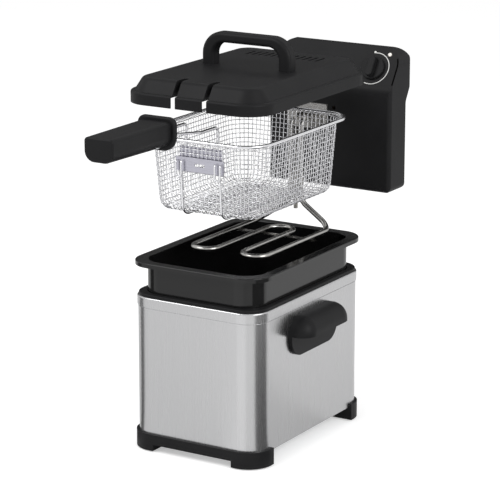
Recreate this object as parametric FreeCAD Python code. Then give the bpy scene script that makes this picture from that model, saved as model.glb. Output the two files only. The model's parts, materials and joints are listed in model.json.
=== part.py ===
import FreeCAD, Part
import math
import os

Vec = FreeCAD.Vector

# A deep fryer, lifted apart piece by piece as for cleaning. Millimetres, +Z up, front towards -Y.
# Each piece is placed where it seats on the one below, plus the lifts that hold the set apart.

# Clearances
SEAT_GAP = 0.3        # a piece that rests on another, or slides past it
FIT_GAP = 0.1         # a piece pushed into its recess
SCREW_GAP = 0.2       # a screw in its clearance hole
WRAP_GAP = 0.8        # a lip or skirt that drops round the piece below
PIN_GAP = 0.6         # a terminal pin in its socket
OVERRUN = 1.0         # a cutting tool past the face that it opens
NEAR = 1e-4           # two heights this close are the same

# Lifts: how far each piece is held above its seat, and how far the control unit is drawn back
BOWL_LIFT = 41.5
ELEMENT_LIFT = 138.0
BASKET_LIFT = 32.0
LID_LIFT = 53.0
UNIT_DRAW = 58.0

# Steel shell
SHELL_WIDTH = 200.0
SHELL_DEPTH = 288.0
SHELL_HEIGHT = 195.0
SHELL_CORNER = 31.0
SHELL_WALL = 1.2
BAND_HEIGHT = 13.5
BAND_PROUD = 1.2
BAND_ROUND = 2.0
GROOVE_HEIGHT = 1.6
GROOVE_DEPTH = 0.6

# Foot rails, pads and base pan
FOOT_HEIGHT = 20.0
FOOT_LENGTH = 38.0
FOOT_PROUD = 4.0
RAIL_LAP = 4.5
RAIL_DROP = 9.5
RAIL_SHELF = 12.0
PAD_RADIUS = 10.0
PAD_HEIGHT = 2.5
PAD_RECESS = 1.0
PAN_FLOOR = 1.5
PAN_WALL = 1.2
PAN_HEIGHT = 12.0

# Collar inside the shell's top
COLLAR_WALL = 7.2
COLLAR_RISE = 4.0
COLLAR_HEIGHT = 14.0
COLLAR_ROUND = 1.5
COLLAR_INSET = 1.0

# Side handles
HANDLE_LENGTH = 122.0
HANDLE_HEIGHT = 26.0    # of the hood
HANDLE_REACH = 30.0
HANDLE_DROP = 23.0      # below the shell's top
HANDLE_WALL = 3.5
HANDLE_ROUND = 24.0
HANDLE_PILLOW = 22.0    # round its outer edge
PLATE_DROP = 30.0       # below the hood
PLATE_WALL = 5.0
PLATE_CORNER = 25.0
HANDLE_SCREW_PITCH = 70.0

# Rear guide and its shelf
GUIDE_WIDTH = 124.0
GUIDE_HEIGHT = 68.0     # above the shelf
GUIDE_WALL = 6.0
GUIDE_STAND = 16.0      # from the shell to the seated control unit
GUIDE_RAIL_PITCH = 100.0
GUIDE_RAIL_WIDTH = 10.0
SHELF_WALL = 4.0
SHELF_REACH = 30.0
GUIDE_SCREW_PITCH = 60.0

# Screws
SCREW_RADIUS = 1.8
SCREW_HEAD = 3.5
SCREW_HEAD_HEIGHT = 2.0
SCREW_COVER = 1.2       # plastic left beyond a blind screw's tip
BASE_SCREW_DEPTH = 2.0  # from a foot pad up to the screw's head
BASE_SCREW_PAST = 2.0   # a base screw's tip above the pan's floor
COVER_SCREW_LENGTH = 14.0
LID_SCREW_LENGTH = 16.0
GRIP_SCREW_LENGTH = 8.0

# Oil bowl
BOWL_ROOM = 1.0         # round the bowl inside the collar
BOWL_CORNER = 30.0
BOWL_DEPTH = 138.0
BOWL_WALL = 1.5
BOWL_FLOOR_ROUND = 12.0
FLANGE_WALL = 2.0
LIP_WALL = 1.5
LIP_DROP = 6.0
BOWL_EDGE_ROUND = 1.2

# Heating element
TUBE_RADIUS = 3.75
TUBE_FLOOR_GAP = 2.5
OUTER_RUN = 58.0
INNER_RUN = 20.0
FRONT_LOOP_SETBACK = 71.0   # from the bowl's front wall
REAR_LOOP_SETBACK = 26.0    # from the legs
LEG_X = 8.0
LEG_CLEARANCE = 3.0         # in front of the legs and behind them
LEG_LID_GAP = 1.3           # below the lid's top
JOG_RISE = 34.0
JOG_BACK = 2.0
JOG_BEND = 20.0
TUBE_BEND = 12.0
BRACE_Y = 70.0
BRACE_WIDTH = 10.0
BRACE_WALL = 1.5
BULB_RADIUS = 3.0
BULB_LENGTH = 60.0
BULB_RISE = 22.0            # over the runs
CAPILLARY_RADIUS = 1.0
CAPILLARY_BEND = 5.0
TERMINAL_WIDTH = 64.0
TERMINAL_HEIGHT = 36.0
TERMINAL_WALL = 4.0
TERMINAL_CORNER = 4.0
PIN_RADIUS = 2.5
PIN_LENGTH = 14.0

# Control unit
UNIT_WIDTH = 198.0
UNIT_HEIGHT = 203.0
UNIT_DEPTH = 46.0
UNIT_WALL = 2.5
UNIT_EDGE = 6.0
UNIT_TOP_CORNER = 26.0
UNIT_LOW_CORNER = 8.0
REAR_COVER_DEPTH = 6.0
SOCKET_HEIGHT = 115.0       # of the terminal pins above the casing's foot
HEAD_PROUD = 16.0
HEAD_HEIGHT = 50.0
HEAD_ROUND = 21.0
HEAD_SWELL = 12.0
HEAD_STEP = 27.0
HEAD_INNER_EDGE = 0.5
PANEL_RISE = 58.0
PANEL_FOLD = 25.0
TOP_LENGTH = 24.0           # level top behind the leaning panel
DIAL_INSET = 38.0
KNOB_RADIUS = 17.5
KNOB_SKIRT = 4.0
KNOB_HEIGHT = 12.0
KNOB_BAR = 10.0
KNOB_BAR_LENGTH = 31.0
KNOB_ROUND = 1.4
SPINDLE_RADIUS = 3.0
SPINDLE_SEAT = 8.0
THERMOSTAT_WIDTH = 40.0
THERMOSTAT_LENGTH = 28.0
THERMOSTAT_DEPTH = 22.0
LAMP_RADIUS = 3.0
LAMP_RISE = 1.0
LAMP_X = 19.5               # from the dial's centre, across the panel
LAMP_UP = 23.0              # from the dial's centre, up the panel
BLOCK_WIDTH = 48.0
BLOCK_HEIGHT = 26.0
BLOCK_BACK = 6.0            # behind the pins' tips
CUTOUT_WIDTH = 22.0
CUTOUT_HEIGHT = 22.0
CUTOUT_Z = 60.0
SWITCH_WIDTH = 20.0
SWITCH_DEPTH = 10.0
SWITCH_HEIGHT = 12.0
SWITCH_Z = 30.0
BUTTON_RADIUS = 5.0
BUTTON_FLANGE = 7.0
BUTTON_FLANGE_WALL = 2.0
BUTTON_PROUD = 3.0
BUTTON_TRAVEL = 2.0
GLAND_RADIUS = 7.0
GLAND_BORE = 4.0
GLAND_FLANGE = 9.5
GLAND_FLANGE_WALL = 2.0
GLAND_Z = 28.0
REAR_FITTING_INSET = 39.0   # gland and reset button, from the casing's sides
COVER_SCREW_INSET = 15.0
COVER_SCREW_LOW = 20.0
COVER_SCREW_DROP = 10.0     # below the head's step
BOSS_RADIUS = 4.5

# Basket
RIM_SEAT = 8.0              # rim wire beyond the bowl's opening
RIM_CORNER = 38.0
RIM_WIRE = 2.2
RIM_FLARE = 2.0
BASKET_GAP = 1.5            # beside the bowl's walls
BODY_CORNER = 34.0
REAR_INSET = 6.0            # rear wall in front of the rim wire
BASKET_DEPTH = 105.0
BASKET_TAPER = 9.0
BASKET_WALL = 1.2
BASKET_FLOOR_ROUND = 14.0
MESH_BAR = 3.0              # wire cloth drawn as a plain grid: its bars
MESH_ROWS = 4               # up the walls
MESH_SIDE_COLUMNS = 8       # along each side, between the corners
MESH_END_COLUMNS = 5        # across the front and the rear
MESH_CORNER_COLUMNS = 2     # round each corner
MESH_FLOOR_ROWS = 9
MESH_FLOOR_COLUMNS = 6
FRAME_WIRE = 1.6
FRAME_X = 30.0
BRACKET_WIDTH = 74.0
BRACKET_HEIGHT = 19.0
BRACKET_WALL = 1.2
BRACKET_DROP = 26.0
BRACKET_SLOT_LENGTH = 16.0
BRACKET_SLOT_HEIGHT = 4.0
HOOK_WIRE = 1.2
HOOK_X = 30.0
HOOK_WIDTH = 8.0
HOOK_REACH = 4.6
HOOK_DROP = 22.0
HOOK_INSET = 5.0            # below the bracket's top
HOOK_BEND = 2.6
HANDLE_WIRE = 1.75
HANDLE_WIRE_X = 24.0
HANDLE_WIRE_RISE = 18.0     # over the rim
HANDLE_WIRE_DROP = 34.0     # inside the basket
HANDLE_WIRE_BEND = 7.0
HANDLE_WIRE_LEAD = 16.0     # straight on in front of the rim
HANDLE_WIRE_DRAW = 8.0      # each wire comes in towards the grip
HANDLE_WIRE_CLIMB = 6.0     # and rises
INNER_PLATE_WIDTH = 66.0
INNER_PLATE_HEIGHT = 22.0
INNER_PLATE_WALL = 1.2

# Basket grip
GRIP_REACH = 77.0           # from the rim to the guard
GRIP_LENGTH = 135.0
GRIP_WIDTH = 46.0
GRIP_HEIGHT = 33.0
GRIP_TIP_SHARE = 0.94
GRIP_TOP_ROUND = 5.0
GRIP_LOW_ROUND = 14.0
GRIP_TIP_ROUND = 2.5
GRIP_RISE = 2.5
GUARD_PROUD = 5.5
GUARD_WALL = 8.0
GUARD_ROUND = 2.8
GRIP_BORE = 60.0

# Lid
LID_WALL = 2.5
SKIRT_HEIGHT = 16.0
LEDGE_WIDTH = 5.5
LEDGE_ROUND = 3.0
SLOPE_RUN = 12.0
SLOPE_RISE = 18.0
CROWN_CORNER = 19.0
CROWN_ROUND = 8.0
REST_RIB_HEIGHT = 5.0
REST_RIB_LENGTH = 12.0
REST_RIB_WALL = 4.0
REST_RIB_Y = 80.0
SLOT_GAP = 2.0              # beside the handle wires
POCKET_WALL = 2.0           # round each slot, under the slope
NOTCH_ROOM = 14.0           # beside the element's legs
NOTCH_LEAD = 4.0            # into the flat top
NOTCH_ROUND = 6.0
VENT_COUNT = 12
VENT_PITCH = 10.0
VENT_WIDTH = 4.0
VENT_LENGTH = 26.0
VENT_SETBACK = 31.0         # in front of the element's legs
FILTER_LAP = 5.0            # filter pad beyond the vents
FILTER_HEIGHT = 5.0
FILTER_WALL = 2.0

# Lid handle
ARCH_LENGTH = 138.0
ARCH_HEIGHT = 45.0
ARCH_BAR = 14.5
ARCH_LEG = 19.0
ARCH_DEPTH = 19.0
ARCH_CORNER = 31.0
ARCH_ROUND = 5.0

# Plan sizes that follow from the piece below
BOWL_INSET = SHELL_WALL + FIT_GAP + COLLAR_WALL + BOWL_ROOM + BOWL_WALL
BOWL_WIDTH = SHELL_WIDTH - 2 * BOWL_INSET
BOWL_LENGTH = SHELL_DEPTH - 2 * BOWL_INSET
FLANGE_OUT = BAND_PROUD + WRAP_GAP + LIP_WALL
FLANGE_WIDTH = SHELL_WIDTH + 2 * FLANGE_OUT
FLANGE_LENGTH = SHELL_DEPTH + 2 * FLANGE_OUT
FLANGE_CORNER = SHELL_CORNER + FLANGE_OUT
LID_OUT = WRAP_GAP + LID_WALL
LID_WIDTH = FLANGE_WIDTH + 2 * LID_OUT
LID_LENGTH = FLANGE_LENGTH + 2 * LID_OUT
LID_CORNER = FLANGE_CORNER + LID_OUT
LEG_Y = BOWL_LENGTH / 2 - LEG_CLEARANCE - TUBE_RADIUS
FRONT_LOOP_Y = FRONT_LOOP_SETBACK - BOWL_LENGTH / 2
REAR_LOOP_Y = LEG_Y - REAR_LOOP_SETBACK
RIM_HALF_WIDTH = BOWL_WIDTH / 2 + RIM_SEAT
RIM_FRONT = -BOWL_LENGTH / 2 - RIM_SEAT
RIM_REAR = LEG_Y - TUBE_RADIUS - LEG_CLEARANCE - RIM_WIRE
BODY_HALF_WIDTH = BOWL_WIDTH / 2 - BASKET_GAP
BODY_FRONT = BASKET_GAP + HOOK_WIRE + HOOK_REACH + BRACKET_WALL + FIT_GAP - BOWL_LENGTH / 2
BODY_REAR = RIM_REAR - REAR_INSET
GRIP_GUARD_Y = RIM_FRONT - GRIP_REACH
GRIP_TIP_Y = GRIP_GUARD_Y - GRIP_LENGTH
UNIT_FRONT = SHELL_DEPTH / 2 + GUIDE_STAND
UNIT_Y = UNIT_FRONT + UNIT_DRAW
HEAD_DEPTH = UNIT_DEPTH + HEAD_PROUD
VENT_Y = LEG_Y - VENT_SETBACK

# Heights where the pieces seat, with the lifts added
SHELL_TOP = FOOT_HEIGHT + SHELL_HEIGHT
COLLAR_TOP = SHELL_TOP + COLLAR_RISE
FLANGE_TOP = COLLAR_TOP + SEAT_GAP + FLANGE_WALL + BOWL_LIFT
BOWL_INSIDE = FLANGE_TOP - BOWL_DEPTH
RUN_Z = BOWL_INSIDE + TUBE_FLOOR_GAP + TUBE_RADIUS + ELEMENT_LIFT
RIM_Z = FLANGE_TOP + SEAT_GAP + RIM_WIRE + ELEMENT_LIFT + BASKET_LIFT
LEDGE_OVER_FLANGE = SEAT_GAP + REST_RIB_HEIGHT
LEDGE_UNDER = FLANGE_TOP + LEDGE_OVER_FLANGE + ELEMENT_LIFT + BASKET_LIFT + LID_LIFT
LID_Z = LEDGE_UNDER + LID_WALL - SKIRT_HEIGHT
LID_TOP = LEDGE_UNDER + LID_WALL + SLOPE_RISE
LEG_TOP = FLANGE_TOP + LEDGE_OVER_FLANGE + SLOPE_RISE - LEG_LID_GAP - TUBE_RADIUS + ELEMENT_LIFT
UNIT_Z = LEG_TOP - SOCKET_HEIGHT
SHELF_TOP = UNIT_Z - SEAT_GAP - BOWL_LIFT - ELEMENT_LIFT

# The leaning panel: its middle carries the dial, and its pitch is measured from level
PANEL_FOOT = UNIT_HEIGHT - PANEL_RISE
PANEL_LEAN = HEAD_DEPTH - TOP_LENGTH
PANEL_PITCH = math.degrees(math.atan2(PANEL_RISE, PANEL_LEAN))
DIAL_X = UNIT_WIDTH / 2 - DIAL_INSET
GLAND_X = UNIT_WIDTH / 2 - REAR_FITTING_INSET
CUTOUT_X = -GLAND_X
DIAL_CENTRE = Vec(DIAL_X, UNIT_Y + PANEL_LEAN / 2, UNIT_Z + PANEL_FOOT + PANEL_RISE / 2)

# The origin is under the middle of the whole set, between the grip's tip and the unit's back
ORIGIN_Y = (GRIP_TIP_Y + UNIT_Y + HEAD_DEPTH) / 2


def path(corners, closed=False):
    """A wire of straight runs joined by tangent arcs. Each corner is a point and its bend radius."""
    count = len(corners)
    edges = []
    ends = []
    for index, (point, bend) in enumerate(corners):
        inner = closed or 0 < index < count - 1
        if not inner or bend == 0:
            ends.append((point, point, None))
            continue
        arrive = (point - corners[index - 1][0]).normalize()
        leave = (corners[(index + 1) % count][0] - point).normalize()
        half_turn = arrive.getAngle(leave) / 2
        reach = bend * math.tan(half_turn)
        inward = (leave - arrive).normalize()
        middle = point + inward * (bend / math.cos(half_turn) - bend)
        ends.append((point - arrive * reach, point + leave * reach, middle))
    for index, (start, end, middle) in enumerate(ends):
        if middle is not None:
            edges.append(Part.Arc(start, middle, end).toShape())
        if index == count - 1 and not closed:
            continue
        after = ends[(index + 1) % count][0]
        if (after - end).Length > NEAR:
            edges.append(Part.LineSegment(end, after).toShape())
    return Part.Wire(edges)


def rod(corners, radius, closed=False):
    """A round rod along a path. A closed rod starts in the middle of its last run."""
    if closed:
        last, first = corners[-1][0], corners[0][0]
        seam = (last + first) * 0.5
        corners = [(seam, 0)] + corners + [(seam, 0)]
    start = corners[0][0]
    heading = corners[1][0] - start
    section = Part.Wire(Part.makeCircle(radius, start, heading))
    spine = path(corners)
    return spine.makePipeShell([section], True, False)


def outline(width, length, corner, z, centre_y=0.0):
    """A level rounded rectangle."""
    x, y = width / 2, length / 2
    places = [(x, -y), (x, y), (-x, y), (-x, -y)]
    return path([(Vec(px, centre_y + py, z), corner) for px, py in places], closed=True)


def slab(width, length, corner, low, high, centre_y=0.0):
    """An upright block with a rounded-rectangle plan."""
    return Part.Face(outline(width, length, corner, low, centre_y)).extrude(Vec(0, 0, high - low))


def block(size, centre):
    """A plain block about its centre."""
    corner = Vec(*centre) - Vec(*size) * 0.5
    return Part.makeBox(*size, corner)


def span(low, high):
    """A plain block between two corners."""
    return Part.makeBox(*(high[i] - low[i] for i in range(3)), Vec(*low))


def level_edges(shape, z):
    """The edges of a shape that lie level at height z."""
    return [e for e in shape.Edges if abs(e.BoundBox.ZMin - z) < NEAR and abs(e.BoundBox.ZMax - z) < NEAR]


def screw(foot, heading, length):
    """A pan-head screw. Its head seats at foot, and its shank runs along heading."""
    head = Part.makeCylinder(SCREW_HEAD, SCREW_HEAD_HEIGHT, foot - heading * SCREW_HEAD_HEIGHT, heading)
    return head.fuse(Part.makeCylinder(SCREW_RADIUS, length, foot, heading)).removeSplitter()


def hole(foot, heading, length, radius):
    """The tool that bores a round hole from foot along heading."""
    return Part.makeCylinder(radius, length, foot, heading)


def mirrored(shape):
    """The same piece on the other side."""
    return shape.mirror(Vec(0, 0, 0), Vec(1, 0, 0))


def on_panel(shape):
    """Moves a piece drawn about the dial's centre, with Z out of the panel, onto the leaning panel."""
    placed = shape.copy()
    placed.rotate(Vec(0, 0, 0), Vec(1, 0, 0), PANEL_PITCH)
    placed.translate(DIAL_CENTRE)
    return placed


# Housing

HANDLE_Z = SHELL_TOP - HANDLE_DROP
HANDLE_SCREW_Z = HANDLE_Z - HANDLE_HEIGHT - PLATE_DROP / 2
GUIDE_TOP = SHELF_TOP + GUIDE_HEIGHT
GUIDE_SCREW_Z = (GUIDE_TOP + SHELF_TOP) / 2
INSIDE_X = SHELL_WIDTH / 2 - SHELL_WALL
INSIDE_Y = SHELL_DEPTH / 2 - SHELL_WALL
BASE_SCREW_SEAT = PAD_HEIGHT + BASE_SCREW_DEPTH + SCREW_HEAD_HEIGHT


def handle_screw_places(side):
    """Where one side handle's screws seat inside the shell."""
    return [Vec(side * INSIDE_X, step * HANDLE_SCREW_PITCH / 2, HANDLE_SCREW_Z) for step in (-1, 1)]


def guide_screw_places():
    """Where the rear guide's screws seat inside the shell."""
    return [Vec(side * GUIDE_SCREW_PITCH / 2, INSIDE_Y, GUIDE_SCREW_Z) for side in (-1, 1)]


def housing_screw_places():
    """Each screw through the shell: its seat, its heading, and its length into what it holds."""
    handle_length = SHELL_WALL + PLATE_WALL - SCREW_COVER
    guide_length = SHELL_WALL + GUIDE_WALL - SCREW_COVER
    places = [(place, Vec(0, 1, 0), guide_length) for place in guide_screw_places()]
    for side in (-1, 1):
        places += [(place, Vec(side, 0, 0), handle_length) for place in handle_screw_places(side)]
    return places


def steel_shell():
    """Wrapped steel, open above and below, with a folded band above a thin groove."""
    band_low = SHELL_TOP - BAND_HEIGHT
    groove_low = band_low - GROOVE_HEIGHT
    wall = slab(SHELL_WIDTH, SHELL_DEPTH, SHELL_CORNER, FOOT_HEIGHT, groove_low)
    neck = slab(SHELL_WIDTH - 2 * GROOVE_DEPTH, SHELL_DEPTH - 2 * GROOVE_DEPTH,
                SHELL_CORNER - GROOVE_DEPTH, groove_low, band_low)
    band = slab(SHELL_WIDTH + 2 * BAND_PROUD, SHELL_DEPTH + 2 * BAND_PROUD,
                SHELL_CORNER + BAND_PROUD, band_low, SHELL_TOP)
    band = band.makeFillet(BAND_ROUND, level_edges(band, SHELL_TOP))
    well = slab(2 * INSIDE_X, 2 * INSIDE_Y, SHELL_CORNER - SHELL_WALL, 0, SHELL_TOP + OVERRUN)
    shell = wall.fuse([neck, band]).cut(well)
    for place, heading, length in housing_screw_places():
        shell = shell.cut(hole(place, heading, length, SCREW_RADIUS + SCREW_GAP))
    return shell


def rim_collar():
    """Moulded ring inside the shell's top, with a lip on the steel that carries the bowl's flange."""
    gap = 2 * FIT_GAP
    ring = slab(2 * INSIDE_X - gap, 2 * INSIDE_Y - gap, SHELL_CORNER - SHELL_WALL - FIT_GAP,
                SHELL_TOP - COLLAR_HEIGHT, SHELL_TOP)
    lip = slab(SHELL_WIDTH - 2 * COLLAR_INSET, SHELL_DEPTH - 2 * COLLAR_INSET, SHELL_CORNER - COLLAR_INSET,
               SHELL_TOP, COLLAR_TOP)
    lip = lip.makeFillet(COLLAR_ROUND, level_edges(lip, COLLAR_TOP))
    room = BOWL_WALL + BOWL_ROOM
    opening = slab(BOWL_WIDTH + 2 * room, BOWL_LENGTH + 2 * room, BOWL_CORNER + room, 0, COLLAR_TOP + OVERRUN)
    return ring.fuse(lip).cut(opening)


def base_pan():
    """Sheet tray that closes the shell's underside and takes the base screws."""
    gap = 2 * FIT_GAP
    corner = SHELL_CORNER - SHELL_WALL - FIT_GAP
    tray = slab(2 * INSIDE_X - gap, 2 * INSIDE_Y - gap, corner, FOOT_HEIGHT, FOOT_HEIGHT + PAN_HEIGHT)
    wall = gap + 2 * PAN_WALL
    hollow = slab(2 * INSIDE_X - wall, 2 * INSIDE_Y - wall, corner - PAN_WALL,
                  FOOT_HEIGHT + PAN_FLOOR, SHELL_TOP)
    pan = tray.cut(hollow)
    for x, y in foot_places():
        pan = pan.cut(hole(Vec(x, y, 0), Vec(0, 0, 1), SHELL_TOP, SCREW_RADIUS + SCREW_GAP))
    return pan


def foot_places():
    """The middle of each foot."""
    x = SHELL_WIDTH / 2 - FOOT_LENGTH / 2
    y = SHELL_DEPTH / 2 - FOOT_LENGTH / 2
    return [(sx * x, sy * y) for sx in (-1, 1) for sy in (-1, 1)]


def foot_rail(side):
    """Moulded rail along the front (side -1) or rear (side 1), with a foot round each corner."""
    reach_x = SHELL_WIDTH / 2 + FOOT_PROUD
    reach_y = SHELL_DEPTH / 2 + FOOT_PROUD
    sole = PAD_HEIGHT - PAD_RECESS
    top = FOOT_HEIGHT + RAIL_LAP
    whole = slab(2 * reach_x, 2 * reach_y, SHELL_CORNER + FOOT_PROUD, sole, top)
    seat = slab(SHELL_WIDTH + 2 * FIT_GAP, SHELL_DEPTH + 2 * FIT_GAP, SHELL_CORNER + FIT_GAP,
                FOOT_HEIGHT, top + OVERRUN)
    whole = whole.cut(seat)
    near, far = side * (SHELL_DEPTH / 2 - FOOT_LENGTH), side * (reach_y + OVERRUN)
    low_y, high_y = sorted((near, far))
    foot_in = SHELL_WIDTH / 2 - FOOT_LENGTH
    keep = []
    for hand in (-1, 1):
        x0, x1 = sorted((hand * foot_in, hand * (reach_x + OVERRUN)))
        keep.append(span((x0, low_y, 0), (x1, high_y, top)))
    strip = sorted((side * (SHELL_DEPTH / 2 - RAIL_SHELF), far))
    keep.append(span((-foot_in, strip[0], FOOT_HEIGHT - RAIL_DROP), (foot_in, strip[1], top)))
    rail = whole.common(keep[0].fuse(keep[1:])).removeSplitter()
    up = Vec(0, 0, 1)
    for x, y in foot_places():
        if y * side > 0:
            floor = Vec(x, y, 0)
            pocket = hole(floor, up, PAD_HEIGHT, PAD_RADIUS + FIT_GAP)
            well = hole(floor, up, BASE_SCREW_SEAT, SCREW_HEAD + SCREW_GAP)
            bore = hole(floor, up, FOOT_HEIGHT + OVERRUN, SCREW_RADIUS + SCREW_GAP)
            rail = rail.cut(pocket.fuse([well, bore]))
    return rail


def base_screws():
    """Screws up through the feet into the base pan."""
    length = FOOT_HEIGHT + PAN_FLOOR + BASE_SCREW_PAST - BASE_SCREW_SEAT
    return [screw(Vec(x, y, BASE_SCREW_SEAT), Vec(0, 0, 1), length) for x, y in foot_places()]


def foot_pads():
    """Rubber discs pressed into the feet. The part stands on these."""
    return [Part.makeCylinder(PAD_RADIUS, PAD_HEIGHT, Vec(x, y, 0)) for x, y in foot_places()]


def scoop(inset):
    """The outside of a side handle's pillow-shaped hood, or its finger hollow when inset by the wall."""
    half = HANDLE_LENGTH / 2 - inset
    top = HANDLE_Z - inset
    low = HANDLE_Z - HANDLE_HEIGHT - (OVERRUN if inset else 0)
    wall_x = SHELL_WIDTH / 2 + (PLATE_WALL if inset else 0)
    reach = SHELL_WIDTH / 2 + HANDLE_REACH - inset
    turn = HANDLE_ROUND - inset
    front = path([(Vec(wall_x, -half, low), 0), (Vec(wall_x, half, low), 0),
                  (Vec(wall_x, half, top), turn), (Vec(wall_x, -half, top), turn)], closed=True)
    hood = Part.Face(front).extrude(Vec(reach - wall_x, 0, 0))
    rims = [e for e in hood.Edges if e.BoundBox.XMin > reach - NEAR and e.BoundBox.ZMax > low + NEAR]
    return hood.makeFillet(HANDLE_PILLOW - inset, rims)


def side_handle():
    """Moulded grip on the right wall: a hood with a finger hollow under it and a plate on the steel."""
    x = SHELL_WIDTH / 2
    half = HANDLE_LENGTH / 2
    low = HANDLE_Z - HANDLE_HEIGHT - PLATE_DROP
    high = HANDLE_Z - HANDLE_WALL
    shape = path([(Vec(x, -half, low), PLATE_CORNER), (Vec(x, half, low), PLATE_CORNER),
                  (Vec(x, half, high), HANDLE_ROUND), (Vec(x, -half, high), HANDLE_ROUND)], closed=True)
    plate = Part.Face(shape).extrude(Vec(PLATE_WALL, 0, 0))
    handle = scoop(0).cut(scoop(HANDLE_WALL)).fuse(plate).removeSplitter()
    for place in handle_screw_places(1):
        handle = handle.cut(hole(place, Vec(1, 0, 0), SHELL_WALL + PLATE_WALL - SCREW_COVER, SCREW_RADIUS))
    return handle


def rear_guide():
    """Bracket on the shell's back: two rails that guide the control unit down, and the shelf it stands on."""
    back = SHELL_DEPTH / 2
    face = UNIT_FRONT - SEAT_GAP
    half = GUIDE_WIDTH / 2
    shelf_low = SHELF_TOP - SHELF_WALL
    guide = span((-half, back, shelf_low), (half, back + GUIDE_WALL, GUIDE_TOP))
    adds = [span((-half, back, shelf_low), (half, face + SHELF_REACH, SHELF_TOP))]
    for hand in (-1, 1):
        middle = hand * GUIDE_RAIL_PITCH / 2
        x0, x1 = middle - GUIDE_RAIL_WIDTH / 2, middle + GUIDE_RAIL_WIDTH / 2
        adds.append(span((x0, back, SHELF_TOP), (x1, face, GUIDE_TOP)))
        corners = [Vec(x0, back, shelf_low), Vec(x0, face + SHELF_REACH, shelf_low),
                   Vec(x0, back, shelf_low - SHELF_REACH)]
        gusset = Part.Face(Part.makePolygon(corners + corners[:1]))
        adds.append(gusset.extrude(Vec(GUIDE_RAIL_WIDTH, 0, 0)))
    guide = guide.fuse(adds).removeSplitter()
    for place in guide_screw_places():
        guide = guide.cut(hole(place, Vec(0, 1, 0), SHELL_WALL + GUIDE_WALL - SCREW_COVER, SCREW_RADIUS))
    return guide


def housing_screws():
    """Screws from inside the shell into both side handles and the rear guide."""
    return [screw(place, heading, length) for place, heading, length in housing_screw_places()]


# Oil bowl

def oil_bowl():
    """Coated pan with a flat flange whose edge is turned down over the collar."""
    outer_w = BOWL_WIDTH + 2 * BOWL_WALL
    outer_l = BOWL_LENGTH + 2 * BOWL_WALL
    floor = BOWL_INSIDE - BOWL_WALL
    body = slab(outer_w, outer_l, BOWL_CORNER + BOWL_WALL, floor, FLANGE_TOP)
    body = body.makeFillet(BOWL_FLOOR_ROUND + BOWL_WALL, level_edges(body, floor))
    flange = slab(FLANGE_WIDTH, FLANGE_LENGTH, FLANGE_CORNER, FLANGE_TOP - LIP_DROP, FLANGE_TOP)
    flange = flange.makeFillet(BOWL_EDGE_ROUND, level_edges(flange, FLANGE_TOP))
    under = slab(FLANGE_WIDTH - 2 * LIP_WALL, FLANGE_LENGTH - 2 * LIP_WALL, FLANGE_CORNER - LIP_WALL,
                 FLANGE_TOP - LIP_DROP, FLANGE_TOP - FLANGE_WALL)
    inside = slab(BOWL_WIDTH, BOWL_LENGTH, BOWL_CORNER, BOWL_INSIDE, FLANGE_TOP + OVERRUN)
    inside = inside.makeFillet(BOWL_FLOOR_ROUND, level_edges(inside, BOWL_INSIDE))
    bowl = body.fuse(flange.cut(under)).removeSplitter().cut(inside)
    rim = [e for e in level_edges(bowl, FLANGE_TOP)
           if max(abs(e.BoundBox.XMin), abs(e.BoundBox.XMax)) < BOWL_WIDTH / 2 + NEAR]
    return bowl.makeFillet(BOWL_EDGE_ROUND, rim)


# Heating element. Its terminal plate stops just short of the seated control unit.

TERMINAL_FACE = UNIT_FRONT - SEAT_GAP - TERMINAL_WALL


def heating_element():
    """One sheathed tube: up-leg, outer run, front loop, inner run, rear loop, and the same again."""
    loop = (OUTER_RUN - INNER_RUN) / 2
    right = [(Vec(LEG_X, TERMINAL_FACE, LEG_TOP), 0),
             (Vec(LEG_X, LEG_Y, LEG_TOP), TUBE_BEND),
             (Vec(LEG_X, LEG_Y, RUN_Z + JOG_RISE), JOG_BEND),
             (Vec(OUTER_RUN, LEG_Y - JOG_BACK, RUN_Z), JOG_BEND),
             (Vec(OUTER_RUN, FRONT_LOOP_Y, RUN_Z), loop),
             (Vec(INNER_RUN, FRONT_LOOP_Y, RUN_Z), loop),
             (Vec(INNER_RUN, REAR_LOOP_Y, RUN_Z), INNER_RUN)]
    left = [(Vec(-point.x, point.y, point.z), bend) for point, bend in reversed(right)]
    return rod(right + left, TUBE_RADIUS)


def terminal_plate():
    """Steel plate that the tube's ends are brazed to."""
    half = TERMINAL_WIDTH / 2
    low, high = LEG_TOP - TERMINAL_HEIGHT / 2, LEG_TOP + TERMINAL_HEIGHT / 2
    places = [(-half, low), (half, low), (half, high), (-half, high)]
    front = path([(Vec(x, TERMINAL_FACE, z), TERMINAL_CORNER) for x, z in places], closed=True)
    return Part.Face(front).extrude(Vec(0, TERMINAL_WALL, 0))


def terminal_pins():
    """Cold pins on the plate's back, which the control unit's terminal block takes."""
    back = TERMINAL_FACE + TERMINAL_WALL
    return [Part.makeCylinder(PIN_RADIUS, PIN_LENGTH, Vec(hand * LEG_X, back, LEG_TOP), Vec(0, 1, 0))
            for hand in (-1, 1)]


def element_brace():
    """Flat strip under the four runs that keeps them level."""
    half = OUTER_RUN + BRACE_WIDTH / 2
    top = RUN_Z - TUBE_RADIUS
    return span((-half, BRACE_Y - BRACE_WIDTH / 2, top - BRACE_WALL), (half, BRACE_Y + BRACE_WIDTH / 2, top))


def thermostat_bulb():
    """Oil-temperature bulb upright between the legs, and the capillary that climbs from it to the plate."""
    low = RUN_Z + BULB_RISE
    bulb = Part.makeCylinder(BULB_RADIUS, BULB_LENGTH, Vec(0, LEG_Y, low))
    line = rod([(Vec(0, LEG_Y, low + BULB_LENGTH / 2), 0), (Vec(0, LEG_Y, LEG_TOP), CAPILLARY_BEND),
                (Vec(0, TERMINAL_FACE, LEG_TOP), 0)], CAPILLARY_RADIUS)
    return bulb.fuse(line).removeSplitter()


# Control unit

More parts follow.
